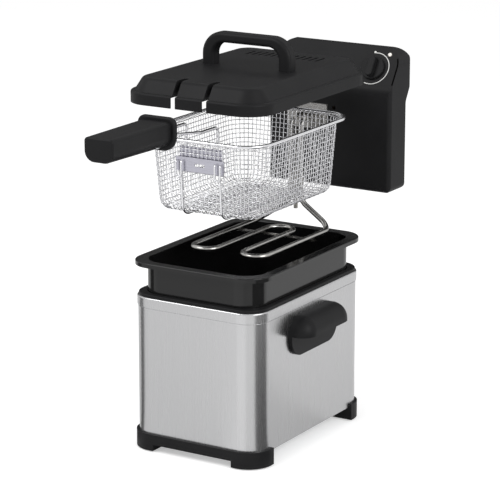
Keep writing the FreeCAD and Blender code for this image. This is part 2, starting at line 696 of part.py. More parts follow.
def unit_block(inset):
    """The casing's outside, or its hollow when inset by the wall."""
    half = UNIT_WIDTH / 2 - inset
    low, high = UNIT_Z + inset, UNIT_Z + UNIT_HEIGHT - inset
    top = UNIT_Z + UNIT_HEIGHT
    back, head = UNIT_Y + UNIT_DEPTH, UNIT_Y + HEAD_DEPTH
    under = top - HEAD_HEIGHT
    edge = UNIT_WALL + HEAD_INNER_EDGE
    x = -half
    side = path([(Vec(x, UNIT_Y, UNIT_Z), UNIT_EDGE), (Vec(x, UNIT_Y, UNIT_Z + PANEL_FOOT), PANEL_FOLD),
                 (Vec(x, UNIT_Y + PANEL_LEAN, top), edge), (Vec(x, head, top), HEAD_ROUND),
                 (Vec(x, head, under), HEAD_SWELL), (Vec(x, back, under - HEAD_STEP), HEAD_SWELL),
                 (Vec(x, back, UNIT_Z), UNIT_EDGE)], closed=True)
    face = Part.Face(side)
    if inset:
        face = face.makeOffset2D(-inset)
    casing = face.extrude(Vec(2 * half, 0, 0))
    low_corner, top_corner = UNIT_LOW_CORNER - inset, UNIT_TOP_CORNER - inset
    front = path([(Vec(-half, UNIT_Y, low), low_corner), (Vec(half, UNIT_Y, low), low_corner),
                  (Vec(half, UNIT_Y, high), top_corner), (Vec(-half, UNIT_Y, high), top_corner)], closed=True)
    casing = casing.common(Part.Face(front).extrude(Vec(0, HEAD_DEPTH, 0)))
    plan = slab(2 * half, HEAD_DEPTH - 2 * inset, UNIT_EDGE - inset, UNIT_Z, UNIT_Z + UNIT_HEIGHT,
                UNIT_Y + HEAD_DEPTH / 2)
    return casing.common(plan)


def cover_screw_places():
    """Where the cover screws seat on the casing's back."""
    x = UNIT_WIDTH / 2 - COVER_SCREW_INSET
    high = UNIT_HEIGHT - HEAD_HEIGHT - HEAD_STEP - COVER_SCREW_DROP
    heights = (UNIT_Z + COVER_SCREW_LOW, UNIT_Z + high)
    return [Vec(hand * x, UNIT_Y + UNIT_DEPTH, z) for hand in (-1, 1) for z in heights]


def unit_half(front):
    """The front or rear moulding of the casing, parted at the seam."""
    casing = unit_block(0).cut(unit_block(UNIT_WALL))
    reach = UNIT_WIDTH / 2 + OVERRUN
    seam = UNIT_Y + UNIT_DEPTH - REAR_COVER_DEPTH
    low_y, high_y = (UNIT_Y - OVERRUN, seam) if front else (seam, UNIT_Y + HEAD_DEPTH + OVERRUN)
    top = UNIT_Z + UNIT_HEIGHT + OVERRUN
    return casing.common(span((-reach, low_y, UNIT_Z - OVERRUN), (reach, high_y, top)))


def unit_front_cover():
    """Front moulding with the leaning panel, the screw bosses and the sockets for the terminal pins."""
    cover = unit_half(front=True)
    inner = UNIT_Y + UNIT_WALL
    boss_end = UNIT_Y + UNIT_DEPTH - UNIT_WALL - FIT_GAP
    for place in cover_screw_places():
        foot = Vec(place.x, inner - UNIT_WALL / 2, place.z)
        cover = cover.fuse(Part.makeCylinder(BOSS_RADIUS, boss_end - foot.y, foot, Vec(0, 1, 0)))
        cover = cover.cut(hole(place, Vec(0, -1, 0), COVER_SCREW_LENGTH, SCREW_RADIUS))
    for hand in (-1, 1):
        foot = Vec(hand * LEG_X, UNIT_Y - OVERRUN, LEG_TOP)
        cover = cover.cut(hole(foot, Vec(0, 1, 0), UNIT_WALL + 2 * OVERRUN, PIN_RADIUS + PIN_GAP))
    through = UNIT_WALL + 2 * OVERRUN
    under = -UNIT_WALL - OVERRUN
    spindle = Part.makeCylinder(SPINDLE_RADIUS + SEAT_GAP, through, Vec(0, 0, under))
    lamp = Part.makeCylinder(LAMP_RADIUS + FIT_GAP, through, Vec(LAMP_X, LAMP_UP, under))
    return cover.cut([on_panel(spindle), on_panel(lamp)])


def unit_rear_cover():
    """Rear moulding with holes for the screws, the reset button and the cord's gland."""
    cover = unit_half(front=False)
    inner = UNIT_Y + UNIT_DEPTH - UNIT_WALL - OVERRUN
    through = UNIT_WALL + 2 * OVERRUN
    for place in cover_screw_places():
        foot = Vec(place.x, inner, place.z)
        cover = cover.cut(hole(foot, Vec(0, 1, 0), through, SCREW_RADIUS + SCREW_GAP))
    button = Vec(CUTOUT_X, inner, UNIT_Z + CUTOUT_Z)
    cover = cover.cut(hole(button, Vec(0, 1, 0), through, BUTTON_RADIUS + SEAT_GAP))
    gland = Vec(GLAND_X, inner, UNIT_Z + GLAND_Z)
    return cover.cut(hole(gland, Vec(0, 1, 0), through, GLAND_RADIUS + FIT_GAP))


def cover_screws():
    """Screws that draw the rear cover onto the front cover's bosses."""
    return [screw(place, Vec(0, -1, 0), COVER_SCREW_LENGTH) for place in cover_screw_places()]


def thermostat_body():
    """Capillary thermostat behind the panel, bored for the spindle."""
    size = (THERMOSTAT_WIDTH, THERMOSTAT_LENGTH, THERMOSTAT_DEPTH)
    body = block(size, (0, 0, -UNIT_WALL - THERMOSTAT_DEPTH / 2))
    seat = Vec(0, 0, -UNIT_WALL - SPINDLE_SEAT)
    bore = Part.makeCylinder(SPINDLE_RADIUS + SEAT_GAP, SPINDLE_SEAT + OVERRUN, seat)
    return on_panel(body.cut(bore))


def thermostat_spindle():
    """Shaft from the thermostat through the panel into the knob."""
    low = SEAT_GAP - UNIT_WALL - SPINDLE_SEAT
    high = KNOB_HEIGHT - UNIT_WALL
    return on_panel(Part.makeCylinder(SPINDLE_RADIUS, high - low, Vec(0, 0, low)))


def temperature_knob():
    """Round knob with a finger bar, turned from off through the scale."""
    skirt = Part.makeCylinder(KNOB_RADIUS, KNOB_SKIRT, Vec(0, 0, SEAT_GAP))
    skirt = skirt.makeFillet(KNOB_ROUND, level_edges(skirt, SEAT_GAP + KNOB_SKIRT))
    top = SEAT_GAP + KNOB_HEIGHT
    bar = slab(KNOB_BAR, KNOB_BAR_LENGTH, KNOB_BAR / 2, SEAT_GAP + KNOB_SKIRT / 2, top)
    bar = bar.makeFillet(KNOB_ROUND, level_edges(bar, top))
    bore = Part.makeCylinder(SPINDLE_RADIUS + FIT_GAP / 2, KNOB_HEIGHT - UNIT_WALL + FIT_GAP, Vec(0, 0, 0))
    return on_panel(skirt.fuse(bar).removeSplitter().cut(bore))


def pilot_lamp():
    """Lens and holder pressed into the panel beside the scale."""
    lens = Part.makeCylinder(LAMP_RADIUS, 2 * UNIT_WALL + LAMP_RISE, Vec(LAMP_X, LAMP_UP, -2 * UNIT_WALL))
    return on_panel(lens.makeFillet(LAMP_RISE, level_edges(lens, LAMP_RISE)))


def terminal_block():
    """Insulating block on the casing's front wall, bored for the element's pins."""
    inner = UNIT_Y + UNIT_WALL
    depth = PIN_LENGTH + BLOCK_BACK - UNIT_WALL
    body = block((BLOCK_WIDTH, depth, BLOCK_HEIGHT), (0, inner + depth / 2, LEG_TOP))
    for hand in (-1, 1):
        foot = Vec(hand * LEG_X, UNIT_Y, LEG_TOP)
        body = body.cut(hole(foot, Vec(0, 1, 0), PIN_LENGTH + PIN_GAP, PIN_RADIUS + PIN_GAP))
    return body


BUTTON_BACK = UNIT_Y + UNIT_DEPTH - UNIT_WALL - FIT_GAP - BUTTON_FLANGE_WALL


def thermal_cutout():
    """Overheat cut-out on the casing's front wall. The reset button's travel ends just short of it."""
    front = UNIT_Y + UNIT_WALL
    depth = BUTTON_BACK - BUTTON_TRAVEL - SEAT_GAP - front
    return block((CUTOUT_WIDTH, depth, CUTOUT_HEIGHT), (CUTOUT_X, front + depth / 2, UNIT_Z + CUTOUT_Z))


def interlock_switch():
    """Microswitch on the casing's front wall, which cuts the current when the unit is off its shelf."""
    size = (SWITCH_WIDTH, SWITCH_DEPTH, SWITCH_HEIGHT)
    return block(size, (0, UNIT_Y + UNIT_WALL + SWITCH_DEPTH / 2, UNIT_Z + SWITCH_Z))


def reset_button():
    """Push button through the casing's back, kept in by a flange."""
    place = Vec(CUTOUT_X, BUTTON_BACK, UNIT_Z + CUTOUT_Z)
    flange = Part.makeCylinder(BUTTON_FLANGE, BUTTON_FLANGE_WALL, place, Vec(0, 1, 0))
    length = BUTTON_FLANGE_WALL + FIT_GAP + UNIT_WALL + BUTTON_PROUD
    return flange.fuse(Part.makeCylinder(BUTTON_RADIUS, length, place, Vec(0, 1, 0))).removeSplitter()


def cord_gland():
    """Bush where the mains lead enters the casing's back."""
    back = UNIT_Y + UNIT_DEPTH
    place = Vec(GLAND_X, back - UNIT_WALL, UNIT_Z + GLAND_Z)
    barrel = Part.makeCylinder(GLAND_RADIUS, UNIT_WALL + GLAND_FLANGE_WALL, place, Vec(0, 1, 0))
    flange = Part.makeCylinder(GLAND_FLANGE, GLAND_FLANGE_WALL, Vec(place.x, back, place.z), Vec(0, 1, 0))
    bore = hole(place, Vec(0, 1, 0), UNIT_WALL + GLAND_FLANGE_WALL, GLAND_BORE)
    return barrel.fuse(flange).removeSplitter().cut(bore)


# Basket

def rim_outline(inset, z):
    """The plan inside the rim wire, drawn in from the wire's middle."""
    middle = (RIM_FRONT + RIM_REAR) / 2
    length = RIM_REAR - RIM_FRONT
    return outline(2 * (RIM_HALF_WIDTH - inset), length - 2 * inset, RIM_CORNER - inset, z, middle)


def body_outline(inset, z):
    """The basket's plan below the flare, drawn in from its widest."""
    middle = (BODY_FRONT + BODY_REAR) / 2
    length = BODY_REAR - BODY_FRONT
    return outline(2 * (BODY_HALF_WIDTH - inset), length - 2 * inset, BODY_CORNER - inset, z, middle)


def basket_wall_y(z):
    """Outer face of the basket's front wall at a height."""
    return BODY_FRONT + BASKET_TAPER * (RIM_Z - RIM_FLARE - z) / (BASKET_DEPTH - RIM_FLARE)


def basket_body(wall, brim):
    """Loft of the basket's outside, or of its inside when drawn in by the wall and carried above the brim."""
    floor = RIM_Z - BASKET_DEPTH + wall
    turn = floor + BASKET_FLOOR_ROUND
    chord = BASKET_FLOOR_ROUND * (1 - math.sqrt(0.5))
    foot = BASKET_TAPER + wall
    mouth = RIM_WIRE + FIT_GAP + wall
    sections = [body_outline(foot + BASKET_FLOOR_ROUND, floor),
                body_outline(foot + chord, floor + chord),
                body_outline(basket_wall_y(turn) - BODY_FRONT + wall, turn),
                body_outline(wall, RIM_Z - RIM_FLARE),
                rim_outline(mouth, RIM_Z)]
    if brim:
        sections.append(rim_outline(mouth, RIM_Z + brim))
    return Part.makeLoft(sections, True, True)


def cell_middles(low, high, count):
    """The middles of equal cells between two ends."""
    return [low + (high - low) * (index + 0.5) / count for index in range(count)]


def mesh_wall_cells():
    """The openings of the walls' grid: straight through both sides, through both ends, and round each corner."""
    low = RIM_Z - BASKET_DEPTH + BASKET_FLOOR_ROUND + BASKET_WALL
    high = RIM_Z - RIM_FLARE - MESH_BAR
    tall = (high - low) / MESH_ROWS - MESH_BAR
    half_x = BODY_HALF_WIDTH - BODY_CORNER
    front, rear = BODY_FRONT + BODY_CORNER, BODY_REAR - BODY_CORNER
    side_cell = (rear - front) / MESH_SIDE_COLUMNS - MESH_BAR
    end_cell = 2 * half_x / MESH_END_COLUMNS - MESH_BAR
    through = 2 * (BODY_REAR - BODY_FRONT)
    step = 90 / MESH_CORNER_COLUMNS
    cells = []
    for z in cell_middles(low, high, MESH_ROWS):
        for y in cell_middles(front, rear, MESH_SIDE_COLUMNS):
            cells.append(block((through, side_cell, tall), (0, y, z)))
        for x in cell_middles(-half_x, half_x, MESH_END_COLUMNS):
            cells.append(block((end_cell, through, tall), (x, (front + rear) / 2, z)))
        bend = BODY_CORNER + BODY_FRONT - basket_wall_y(z)
        wide = 2 * bend * math.sin(math.radians(step / 2)) - MESH_BAR
        corners = [(half_x, rear), (-half_x, rear), (-half_x, front), (half_x, front)]
        for quarter, (x, y) in enumerate(corners):
            for turn in cell_middles(0, 90, MESH_CORNER_COLUMNS):
                cell = block((bend, wide, tall), (bend, 0, 0))
                cell.rotate(Vec(0, 0, 0), Vec(0, 0, 1), 90 * quarter + turn)
                cell.translate(Vec(x, y, z))
                cells.append(cell)
    return cells


def mesh_floor_cells():
    """The openings of the floor's grid."""
    inset = BASKET_TAPER + BASKET_FLOOR_ROUND + MESH_BAR
    half_x = BODY_HALF_WIDTH - inset
    front, rear = BODY_FRONT + inset, BODY_REAR - inset
    size = (2 * half_x / MESH_FLOOR_COLUMNS - MESH_BAR, (rear - front) / MESH_FLOOR_ROWS - MESH_BAR,
            2 * (BASKET_WALL + OVERRUN))
    return [block(size, (x, y, RIM_Z - BASKET_DEPTH))
            for x in cell_middles(-half_x, half_x, MESH_FLOOR_COLUMNS)
            for y in cell_middles(front, rear, MESH_FLOOR_ROWS)]


def basket_mesh():
    """The wire cloth as one thin wall with a plain grid of openings, open above."""
    wall = basket_body(0, 0).cut(basket_body(BASKET_WALL, OVERRUN))
    return wall.cut(mesh_wall_cells() + mesh_floor_cells())


def basket_rim():
    """Thick wire that the cloth is rolled over. It rests on the bowl's flange."""
    x, y0, y1 = RIM_HALF_WIDTH, RIM_FRONT, RIM_REAR
    places = [(x, y0), (x, y1), (-x, y1), (-x, y0)]
    return rod([(Vec(px, py, RIM_Z), RIM_CORNER) for px, py in places], RIM_WIRE, closed=True)


BRACKET_TOP = RIM_Z - BRACKET_DROP
BRACKET_LOW = BRACKET_TOP - BRACKET_HEIGHT
BRACKET_BACK = basket_wall_y(BRACKET_TOP) - FIT_GAP
BRACKET_FACE = BRACKET_BACK - BRACKET_WALL


def frame_wires():
    """Two wires from the bracket down the front and under the floor, which the basket stands on."""
    floor = RIM_Z - BASKET_DEPTH
    gap = FRAME_WIRE + FIT_GAP
    top = BRACKET_LOW - gap
    heel = BODY_REAR - BASKET_TAPER - BASKET_FLOOR_ROUND
    wires = []
    for hand in (-1, 1):
        x = hand * FRAME_X
        wires.append(rod([(Vec(x, basket_wall_y(top) - gap, top), 0),
                          (Vec(x, basket_wall_y(floor) - gap, floor - gap), BASKET_FLOOR_ROUND + gap),
                          (Vec(x, heel, floor - gap), 0)], FRAME_WIRE))
    return wires


def front_bracket():
    """Steel plate on the basket's front, with a slot."""
    half = BRACKET_WIDTH / 2
    plate = span((-half, BRACKET_FACE, BRACKET_LOW), (half, BRACKET_BACK, BRACKET_TOP))
    size = (BRACKET_SLOT_LENGTH, 2 * (BRACKET_WALL + OVERRUN), BRACKET_SLOT_HEIGHT)
    slot = block(size, (0, BRACKET_FACE, (BRACKET_LOW + BRACKET_TOP) / 2))
    return plate.cut(slot)


def drain_hooks():
    """Two wire loops on the bracket, by which the basket hangs on the bowl's edge to drain."""
    top = BRACKET_TOP - HOOK_INSET
    face = BRACKET_FACE - HOOK_REACH
    half = HOOK_WIDTH / 2
    loops = []
    for hand in (-1, 1):
        x0, x1 = hand * HOOK_X - half, hand * HOOK_X + half
        loops.append(rod([(Vec(x0, BRACKET_FACE, top), 0), (Vec(x0, face, top), HOOK_BEND),
                          (Vec(x0, face, top - HOOK_DROP), half),
                          (Vec(x1, face, top - HOOK_DROP), half),
                          (Vec(x1, face, top), HOOK_BEND), (Vec(x1, BRACKET_FACE, top), 0)], HOOK_WIRE))
    return loops


# The handle wires stand inside the cloth with the inner plate between, and come together at the grip

WIRE_LOW = RIM_Z - HANDLE_WIRE_DROP
WIRE_Y = basket_wall_y(WIRE_LOW) + BASKET_WALL + SEAT_GAP + INNER_PLATE_WALL + HANDLE_WIRE
WIRE_Z = RIM_Z + HANDLE_WIRE_RISE
GRIP_WIRE_X = HANDLE_WIRE_X - HANDLE_WIRE_DRAW
GRIP_WIRE_Z = WIRE_Z + HANDLE_WIRE_CLIMB
GRIP_Z = GRIP_WIRE_Z + GRIP_RISE


def handle_wires():
    """Two stout wires from the grip over the rim and down inside the basket's front."""
    end = GRIP_GUARD_Y - GRIP_BORE + SEAT_GAP
    meet = GRIP_GUARD_Y + HANDLE_WIRE_BEND
    wires = []
    for hand in (-1, 1):
        x, grip_x = hand * HANDLE_WIRE_X, hand * GRIP_WIRE_X
        corners = [(Vec(grip_x, end, GRIP_WIRE_Z), 0),
                   (Vec(grip_x, meet, GRIP_WIRE_Z), HANDLE_WIRE_BEND),
                   (Vec(x, RIM_FRONT - HANDLE_WIRE_LEAD, WIRE_Z), HANDLE_WIRE_BEND),
                   (Vec(x, WIRE_Y, WIRE_Z), HANDLE_WIRE_BEND),
                   (Vec(x, WIRE_Y, WIRE_LOW), 0)]
        wires.append(rod(corners, HANDLE_WIRE))
    return wires


def inner_plate():
    """Steel plate between the handle wires and the cloth, welded to the wires' ends."""
    face = WIRE_Y - HANDLE_WIRE
    half = INNER_PLATE_WIDTH / 2
    return span((-half, face - INNER_PLATE_WALL, WIRE_LOW), (half, face, WIRE_LOW + INNER_PLATE_HEIGHT))


def grip_section(width, height, y):
    """Flat above and round below."""
    x = width / 2
    top, low = GRIP_Z + GRIP_HEIGHT / 2, GRIP_Z + GRIP_HEIGHT / 2 - height
    return path([(Vec(-x, y, low), GRIP_LOW_ROUND), (Vec(x, y, low), GRIP_LOW_ROUND),
                 (Vec(x, y, top), GRIP_TOP_ROUND), (Vec(-x, y, top), GRIP_TOP_ROUND)], closed=True)


def grip_screw_places():
    """Under the grip, one below each wire."""
    y = GRIP_GUARD_Y - GRIP_BORE / 2
    z = GRIP_WIRE_Z - HANDLE_WIRE - FIT_GAP - GRIP_SCREW_LENGTH
    return [Vec(hand * GRIP_WIRE_X, y, z) for hand in (-1, 1)]


def handle_grip():
    """Moulded grip with a guard at the basket's end, bored for the two wires."""
    tip = GRIP_TIP_SHARE
    grip = Part.makeLoft([grip_section(GRIP_WIDTH * tip, GRIP_HEIGHT * tip, GRIP_TIP_Y),
                          grip_section(GRIP_WIDTH, GRIP_HEIGHT, GRIP_GUARD_Y)], True, True)
    grip = grip.makeFillet(GRIP_TIP_ROUND, [e for e in grip.Edges if e.BoundBox.YMax < GRIP_TIP_Y + NEAR])
    guard_low = grip_section(GRIP_WIDTH, GRIP_HEIGHT, GRIP_GUARD_Y - GUARD_WALL)
    guard = Part.Face(guard_low).makeOffset2D(GUARD_PROUD).extrude(Vec(0, GUARD_WALL, 0))
    guard = guard.makeFillet(GUARD_ROUND, [e for e in guard.Edges if e.BoundBox.YLength < NEAR])
    grip = grip.fuse(guard).removeSplitter()
    for hand in (-1, 1):
        foot = Vec(hand * GRIP_WIRE_X, GRIP_GUARD_Y, GRIP_WIRE_Z)
        grip = grip.cut(hole(foot, Vec(0, -1, 0), GRIP_BORE, HANDLE_WIRE + FIT_GAP))
    for place in grip_screw_places():
        grip = grip.cut(hole(place, Vec(0, 0, 1), GRIP_SCREW_LENGTH + HANDLE_WIRE, SCREW_RADIUS))
        grip = grip.cut(hole(place, Vec(0, 0, -1), GRIP_HEIGHT, SCREW_HEAD + FIT_GAP))
    return grip


def grip_screws():
    """Screws up from the grip's underside that clamp the wires."""
    return [screw(place, Vec(0, 0, 1), GRIP_SCREW_LENGTH) for place in grip_screw_places()]


# Lid

def lid_block(inset):
    """The lid's outside, or its hollow when inset by the wall."""
    skirt_top = LID_Z + SKIRT_HEIGHT - inset
    crown = LID_TOP - inset
    skirt_low = LID_Z - (OVERRUN if inset else 0)
    skirt = slab(LID_WIDTH - 2 * inset, LID_LENGTH - 2 * inset, LID_CORNER - inset, skirt_low, skirt_top)
    if not inset:
        skirt = skirt.makeFillet(LEDGE_ROUND, level_edges(skirt, skirt_top))
    step = 2 * (LEDGE_WIDTH + inset)
    run = 2 * SLOPE_RUN
    corner = LID_CORNER - LEDGE_WIDTH - inset
    foot = outline(LID_WIDTH - step, LID_LENGTH - step, corner, skirt_top - LEDGE_ROUND)
    foot_top = outline(LID_WIDTH - step, LID_LENGTH - step, corner, skirt_top)
    top = outline(LID_WIDTH - step - run, LID_LENGTH - step - run, CROWN_CORNER - inset, crown)
    hump = Part.makeLoft([foot_top, top], True, True)
    if not inset:
        hump = hump.makeFillet(CROWN_ROUND, level_edges(hump, crown))
    plug = Part.Face(foot).extrude(Vec(0, 0, LEDGE_ROUND))
    return skirt.fuse([plug, hump]).removeSplitter()


def lid_shell():
    """Moulded lid: skirt, ledge, sloping sides and flat top, with slots, a rear notch, vents and ribs."""
    outside = lid_block(0)
    lid = outside.cut(lid_block(LID_WALL))
    rib_x = LID_WIDTH / 2 - LID_WALL - REST_RIB_WALL
    for hand in (-1, 1):
        for end in (-1, 1):
            x0, x1 = sorted((hand * rib_x, hand * (rib_x + REST_RIB_WALL + LID_WALL / 2)))
            y = end * REST_RIB_Y
            lid = lid.fuse(span((x0, y - REST_RIB_LENGTH / 2, LEDGE_UNDER - REST_RIB_HEIGHT),
                                (x1, y + REST_RIB_LENGTH / 2, LEDGE_UNDER + LID_WALL / 2)))
    low, high = LID_Z - OVERRUN, LID_TOP + OVERRUN
    slot_end = WIRE_Y + HANDLE_WIRE + SLOT_GAP
    slot_width = 2 * (HANDLE_WIRE + SLOT_GAP)
    slot_length = slot_end + LID_LENGTH
    pocket_front, pocket_rear = LEDGE_WIDTH - LID_LENGTH / 2, slot_end + POCKET_WALL
    pocket_half = slot_width / 2 + POCKET_WALL
    for hand in (-1, 1):
        x0, x1 = hand * HANDLE_WIRE_X - pocket_half, hand * HANDLE_WIRE_X + pocket_half
        pocket = span((x0, pocket_front, LEDGE_UNDER), (x1, pocket_rear, LID_TOP - LID_WALL / 2))
        lid = lid.fuse(pocket.common(outside))
        slot = slab(slot_width, slot_length, slot_width / 2, low, high, slot_end - slot_length / 2)
        slot.translate(Vec(hand * HANDLE_WIRE_X, 0, 0))
        lid = lid.cut(slot)
    notch_front = LID_LENGTH / 2 - LEDGE_WIDTH - SLOPE_RUN - NOTCH_LEAD
    notch_width = 2 * (LEG_X + TUBE_RADIUS + NOTCH_ROOM)
    notch_length = LID_LENGTH - notch_front
    lid = lid.cut(slab(notch_width, notch_length, NOTCH_ROUND, low, high, notch_front + notch_length / 2))
    lid = lid.cut(vent_cutters(LID_TOP - 2 * LID_WALL, high))
    for place in lid_screw_places():
        lid = lid.cut(hole(place, Vec(0, 0, 1), LID_WALL, SCREW_RADIUS + SCREW_GAP))
    return lid


def vent_cutters(low, high):
    """The row of round-ended slots that lets steam through the lid and the filter's tray."""
    cutters = []
    for index in range(VENT_COUNT):
        vent = slab(VENT_WIDTH, VENT_LENGTH, VENT_WIDTH / 2, low, high, VENT_Y)
        vent.translate(Vec((index - (VENT_COUNT - 1) / 2) * VENT_PITCH, 0, 0))
        cutters.append(vent)
    return cutters


def lid_screw_places():
    """Under the lid's top, one below each leg of its handle."""
    x = ARCH_LENGTH / 2 - ARCH_LEG / 2
    return [Vec(hand * x, 0, LID_TOP - LID_WALL) for hand in (-1, 1)]


def lid_handle():
    """Moulded arch across the lid."""
    half = ARCH_LENGTH / 2
    top = LID_TOP + ARCH_HEIGHT
    y = -ARCH_DEPTH / 2
    inner = half - ARCH_LEG
    outer_face = path([(Vec(-half, y, LID_TOP), 0), (Vec(half, y, LID_TOP), 0),
                       (Vec(half, y, top), ARCH_CORNER), (Vec(-half, y, top), ARCH_CORNER)], closed=True)
    gap_round = ARCH_CORNER - ARCH_BAR
    gap_top = top - ARCH_BAR
    inner_face = path([(Vec(-inner, y, LID_TOP), 0), (Vec(inner, y, LID_TOP), 0),
                       (Vec(inner, y, gap_top), gap_round),
                       (Vec(-inner, y, gap_top), gap_round)], closed=True)
    arch = Part.Face(outer_face).extrude(Vec(0, ARCH_DEPTH, 0))
    arch = arch.cut(Part.Face(inner_face).extrude(Vec(0, ARCH_DEPTH, 0)))
    rims = [e for e in arch.Edges if e.BoundBox.YLength < NEAR and e.BoundBox.ZMax > LID_TOP + NEAR]
    arch = arch.makeFillet(ARCH_ROUND, rims)
    for place in lid_screw_places():
        arch = arch.cut(hole(place, Vec(0, 0, 1), LID_SCREW_LENGTH, SCREW_RADIUS))
    return arch


def lid_screws():
    """Screws up through the lid into the legs of its handle."""
    return [screw(place, Vec(0, 0, 1), LID_SCREW_LENGTH) for place in lid_screw_places()]


FILTER_WIDTH = (VENT_COUNT - 1) * VENT_PITCH + VENT_WIDTH + 2 * FILTER_LAP
FILTER_LENGTH = VENT_LENGTH + 2 * FILTER_LAP


def lid_filter():
    """Metal-mesh pad under the vents."""
    top = LID_TOP - LID_WALL - FIT_GAP
    return block((FILTER_WIDTH, FILTER_LENGTH, FILTER_HEIGHT), (0, VENT_Y, top - FILTER_HEIGHT / 2))


def filter_cover():
    """Slotted tray that holds the filter pad up against the lid."""
    wall = FILTER_WALL + FIT_GAP
    top = LID_TOP - LID_WALL
    low = top - FILTER_HEIGHT - 2 * FIT_GAP - FILTER_WALL
    tray = slab(FILTER_WIDTH + 2 * wall, FILTER_LENGTH + 2 * wall, 2 * FILTER_WALL, low, top, VENT_Y)
    room = slab(FILTER_WIDTH + 2 * FIT_GAP, FILTER_LENGTH + 2 * FIT_GAP, FIT_GAP,
                low + FILTER_WALL, top + OVERRUN, VENT_Y)
    return tray.cut(room).cut(vent_cutters(low - OVERRUN, low + FILTER_WALL + OVERRUN))


RIGHT_HANDLE = side_handle()

PIECES = {
    "steel_shell": steel_shell(),
    "rim_collar": rim_collar(),
    "base_pan": base_pan(),
    "front_foot_rail": foot_rail(-1),
    "rear_foot_rail": foot_rail(1),
    "foot_pads": foot_pads(),
    "base_screws": base_screws(),
    "side_handle_right": RIGHT_HANDLE,
    "side_handle_left": mirrored(RIGHT_HANDLE),
    "rear_guide": rear_guide(),
    "housing_screws": housing_screws(),
    "oil_bowl": oil_bowl(),
    "heating_element": heating_element(),
    "element_brace": element_brace(),
    "thermostat_bulb": thermostat_bulb(),
    "terminal_plate": terminal_plate(),
    "terminal_pins": terminal_pins(),
    "unit_front_cover": unit_front_cover(),
    "unit_rear_cover": unit_rear_cover(),
    "cover_screws": cover_screws(),
    "thermostat_body": thermostat_body(),
    "thermostat_spindle": thermostat_spindle(),
    "temperature_knob": temperature_knob(),
    "pilot_lamp": pilot_lamp(),
    "terminal_block": terminal_block(),
    "thermal_cutout": thermal_cutout(),
    "interlock_switch": interlock_switch(),
    "reset_button": reset_button(),
    "cord_gland": cord_gland(),
    "basket_mesh": basket_mesh(),
    "basket_rim": basket_rim(),
    "frame_wires": frame_wires(),
    "front_bracket": front_bracket(),
    "drain_hooks": drain_hooks(),
    "inner_plate": inner_plate(),
    "handle_wires": handle_wires(),
    "handle_grip": handle_grip(),
    "grip_screws": grip_screws(),
    "lid_shell": lid_shell(),
    "lid_handle": lid_handle(),
    "lid_screws": lid_screws(),
    "lid_filter": lid_filter(),
    "filter_cover": filter_cover(),
}

os.makedirs("parts", exist_ok=True)
for node, piece in PIECES.items():
    shape = Part.makeCompound(piece) if isinstance(piece, list) else piece.copy()
    shape.translate(Vec(0, -ORIGIN_Y, 0))
    shape.exportStep(f"parts/{node}.step")
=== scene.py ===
import json
import math

import bmesh
import bpy
from mathutils import Matrix, Vector


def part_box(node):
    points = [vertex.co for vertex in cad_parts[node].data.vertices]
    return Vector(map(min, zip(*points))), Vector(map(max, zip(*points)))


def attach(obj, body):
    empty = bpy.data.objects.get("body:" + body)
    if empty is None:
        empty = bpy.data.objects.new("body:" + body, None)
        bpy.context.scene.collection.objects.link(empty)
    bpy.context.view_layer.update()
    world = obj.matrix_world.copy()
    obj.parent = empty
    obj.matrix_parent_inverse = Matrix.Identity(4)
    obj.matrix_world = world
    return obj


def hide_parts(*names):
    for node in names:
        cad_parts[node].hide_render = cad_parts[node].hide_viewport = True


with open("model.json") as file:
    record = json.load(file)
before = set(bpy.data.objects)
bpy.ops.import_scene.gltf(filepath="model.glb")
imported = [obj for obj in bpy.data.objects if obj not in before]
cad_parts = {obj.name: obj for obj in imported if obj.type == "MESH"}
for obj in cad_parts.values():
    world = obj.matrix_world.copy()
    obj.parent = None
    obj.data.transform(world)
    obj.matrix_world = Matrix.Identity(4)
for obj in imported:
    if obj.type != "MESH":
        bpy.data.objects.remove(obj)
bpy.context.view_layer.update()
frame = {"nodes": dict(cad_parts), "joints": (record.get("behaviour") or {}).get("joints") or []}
nodes = frame["nodes"]


# Foot rails
# Two rails moulded in black ABS carry the housing at the front and the rear, with an ear at each corner.
# Screws from below draw them up against the base pan.

def linear(code):
    """An sRGB hex colour as the linear colour that a shader takes."""
    channels = [int(code[i:i + 2], 16) / 255 for i in (1, 3, 5)]
    return [c / 12.92 if c <= 0.04045 else ((c + 0.055) / 1.055) ** 2.4 for c in channels] + [1.0]


def add(tree, kind, inputs=None, **settings):
    """Adds a node with its settings; each input is given a value or another node's output."""
    node = tree.nodes.new(kind)
    for name, value in settings.items():
        setattr(node, name, value)
    for socket, value in (inputs or {}).items():
        if isinstance(value, bpy.types.NodeSocket):
            tree.links.new(value, node.inputs[socket])
        else:
            node.inputs[socket].default_value = value
    return node


def new_finish(name, values):
    """A material, its tree, its shader and the piece's own coordinates in metres."""
    material = bpy.data.materials.new(name)
    material.use_nodes = True
    tree = material.node_tree
    shader = tree.nodes["Principled BSDF"]
    for socket, value in values.items():
        shader.inputs[socket].default_value = value
    place = add(tree, "ShaderNodeTexCoord").outputs["Object"]
    return material, tree, shader, place


def noise(tree, place, size, detail):
    """Noise with patches of about that size, in the place's own unit, as a factor."""
    patches = add(tree, "ShaderNodeTexNoise", {"Vector": place, "Scale": 1 / size, "Detail": detail})
    return patches.outputs["Fac"]


def tint(tree, shader, factor, first, second):
    """Blends the shader's colour between two tones. A Mix node's colour sockets go by number."""
    tone = add(tree, "ShaderNodeMix", {0: factor, 6: linear(first), 7: linear(second)}, data_type="RGBA")
    tree.links.new(tone.outputs[2], shader.inputs["Base Color"])


def roughen(tree, shader, factor, least, most):
    """Blends the shader's roughness between two values."""
    spread = add(tree, "ShaderNodeMapRange", {"Value": factor, "To Min": least, "To Max": most})
    tree.links.new(spread.outputs["Result"], shader.inputs["Roughness"])


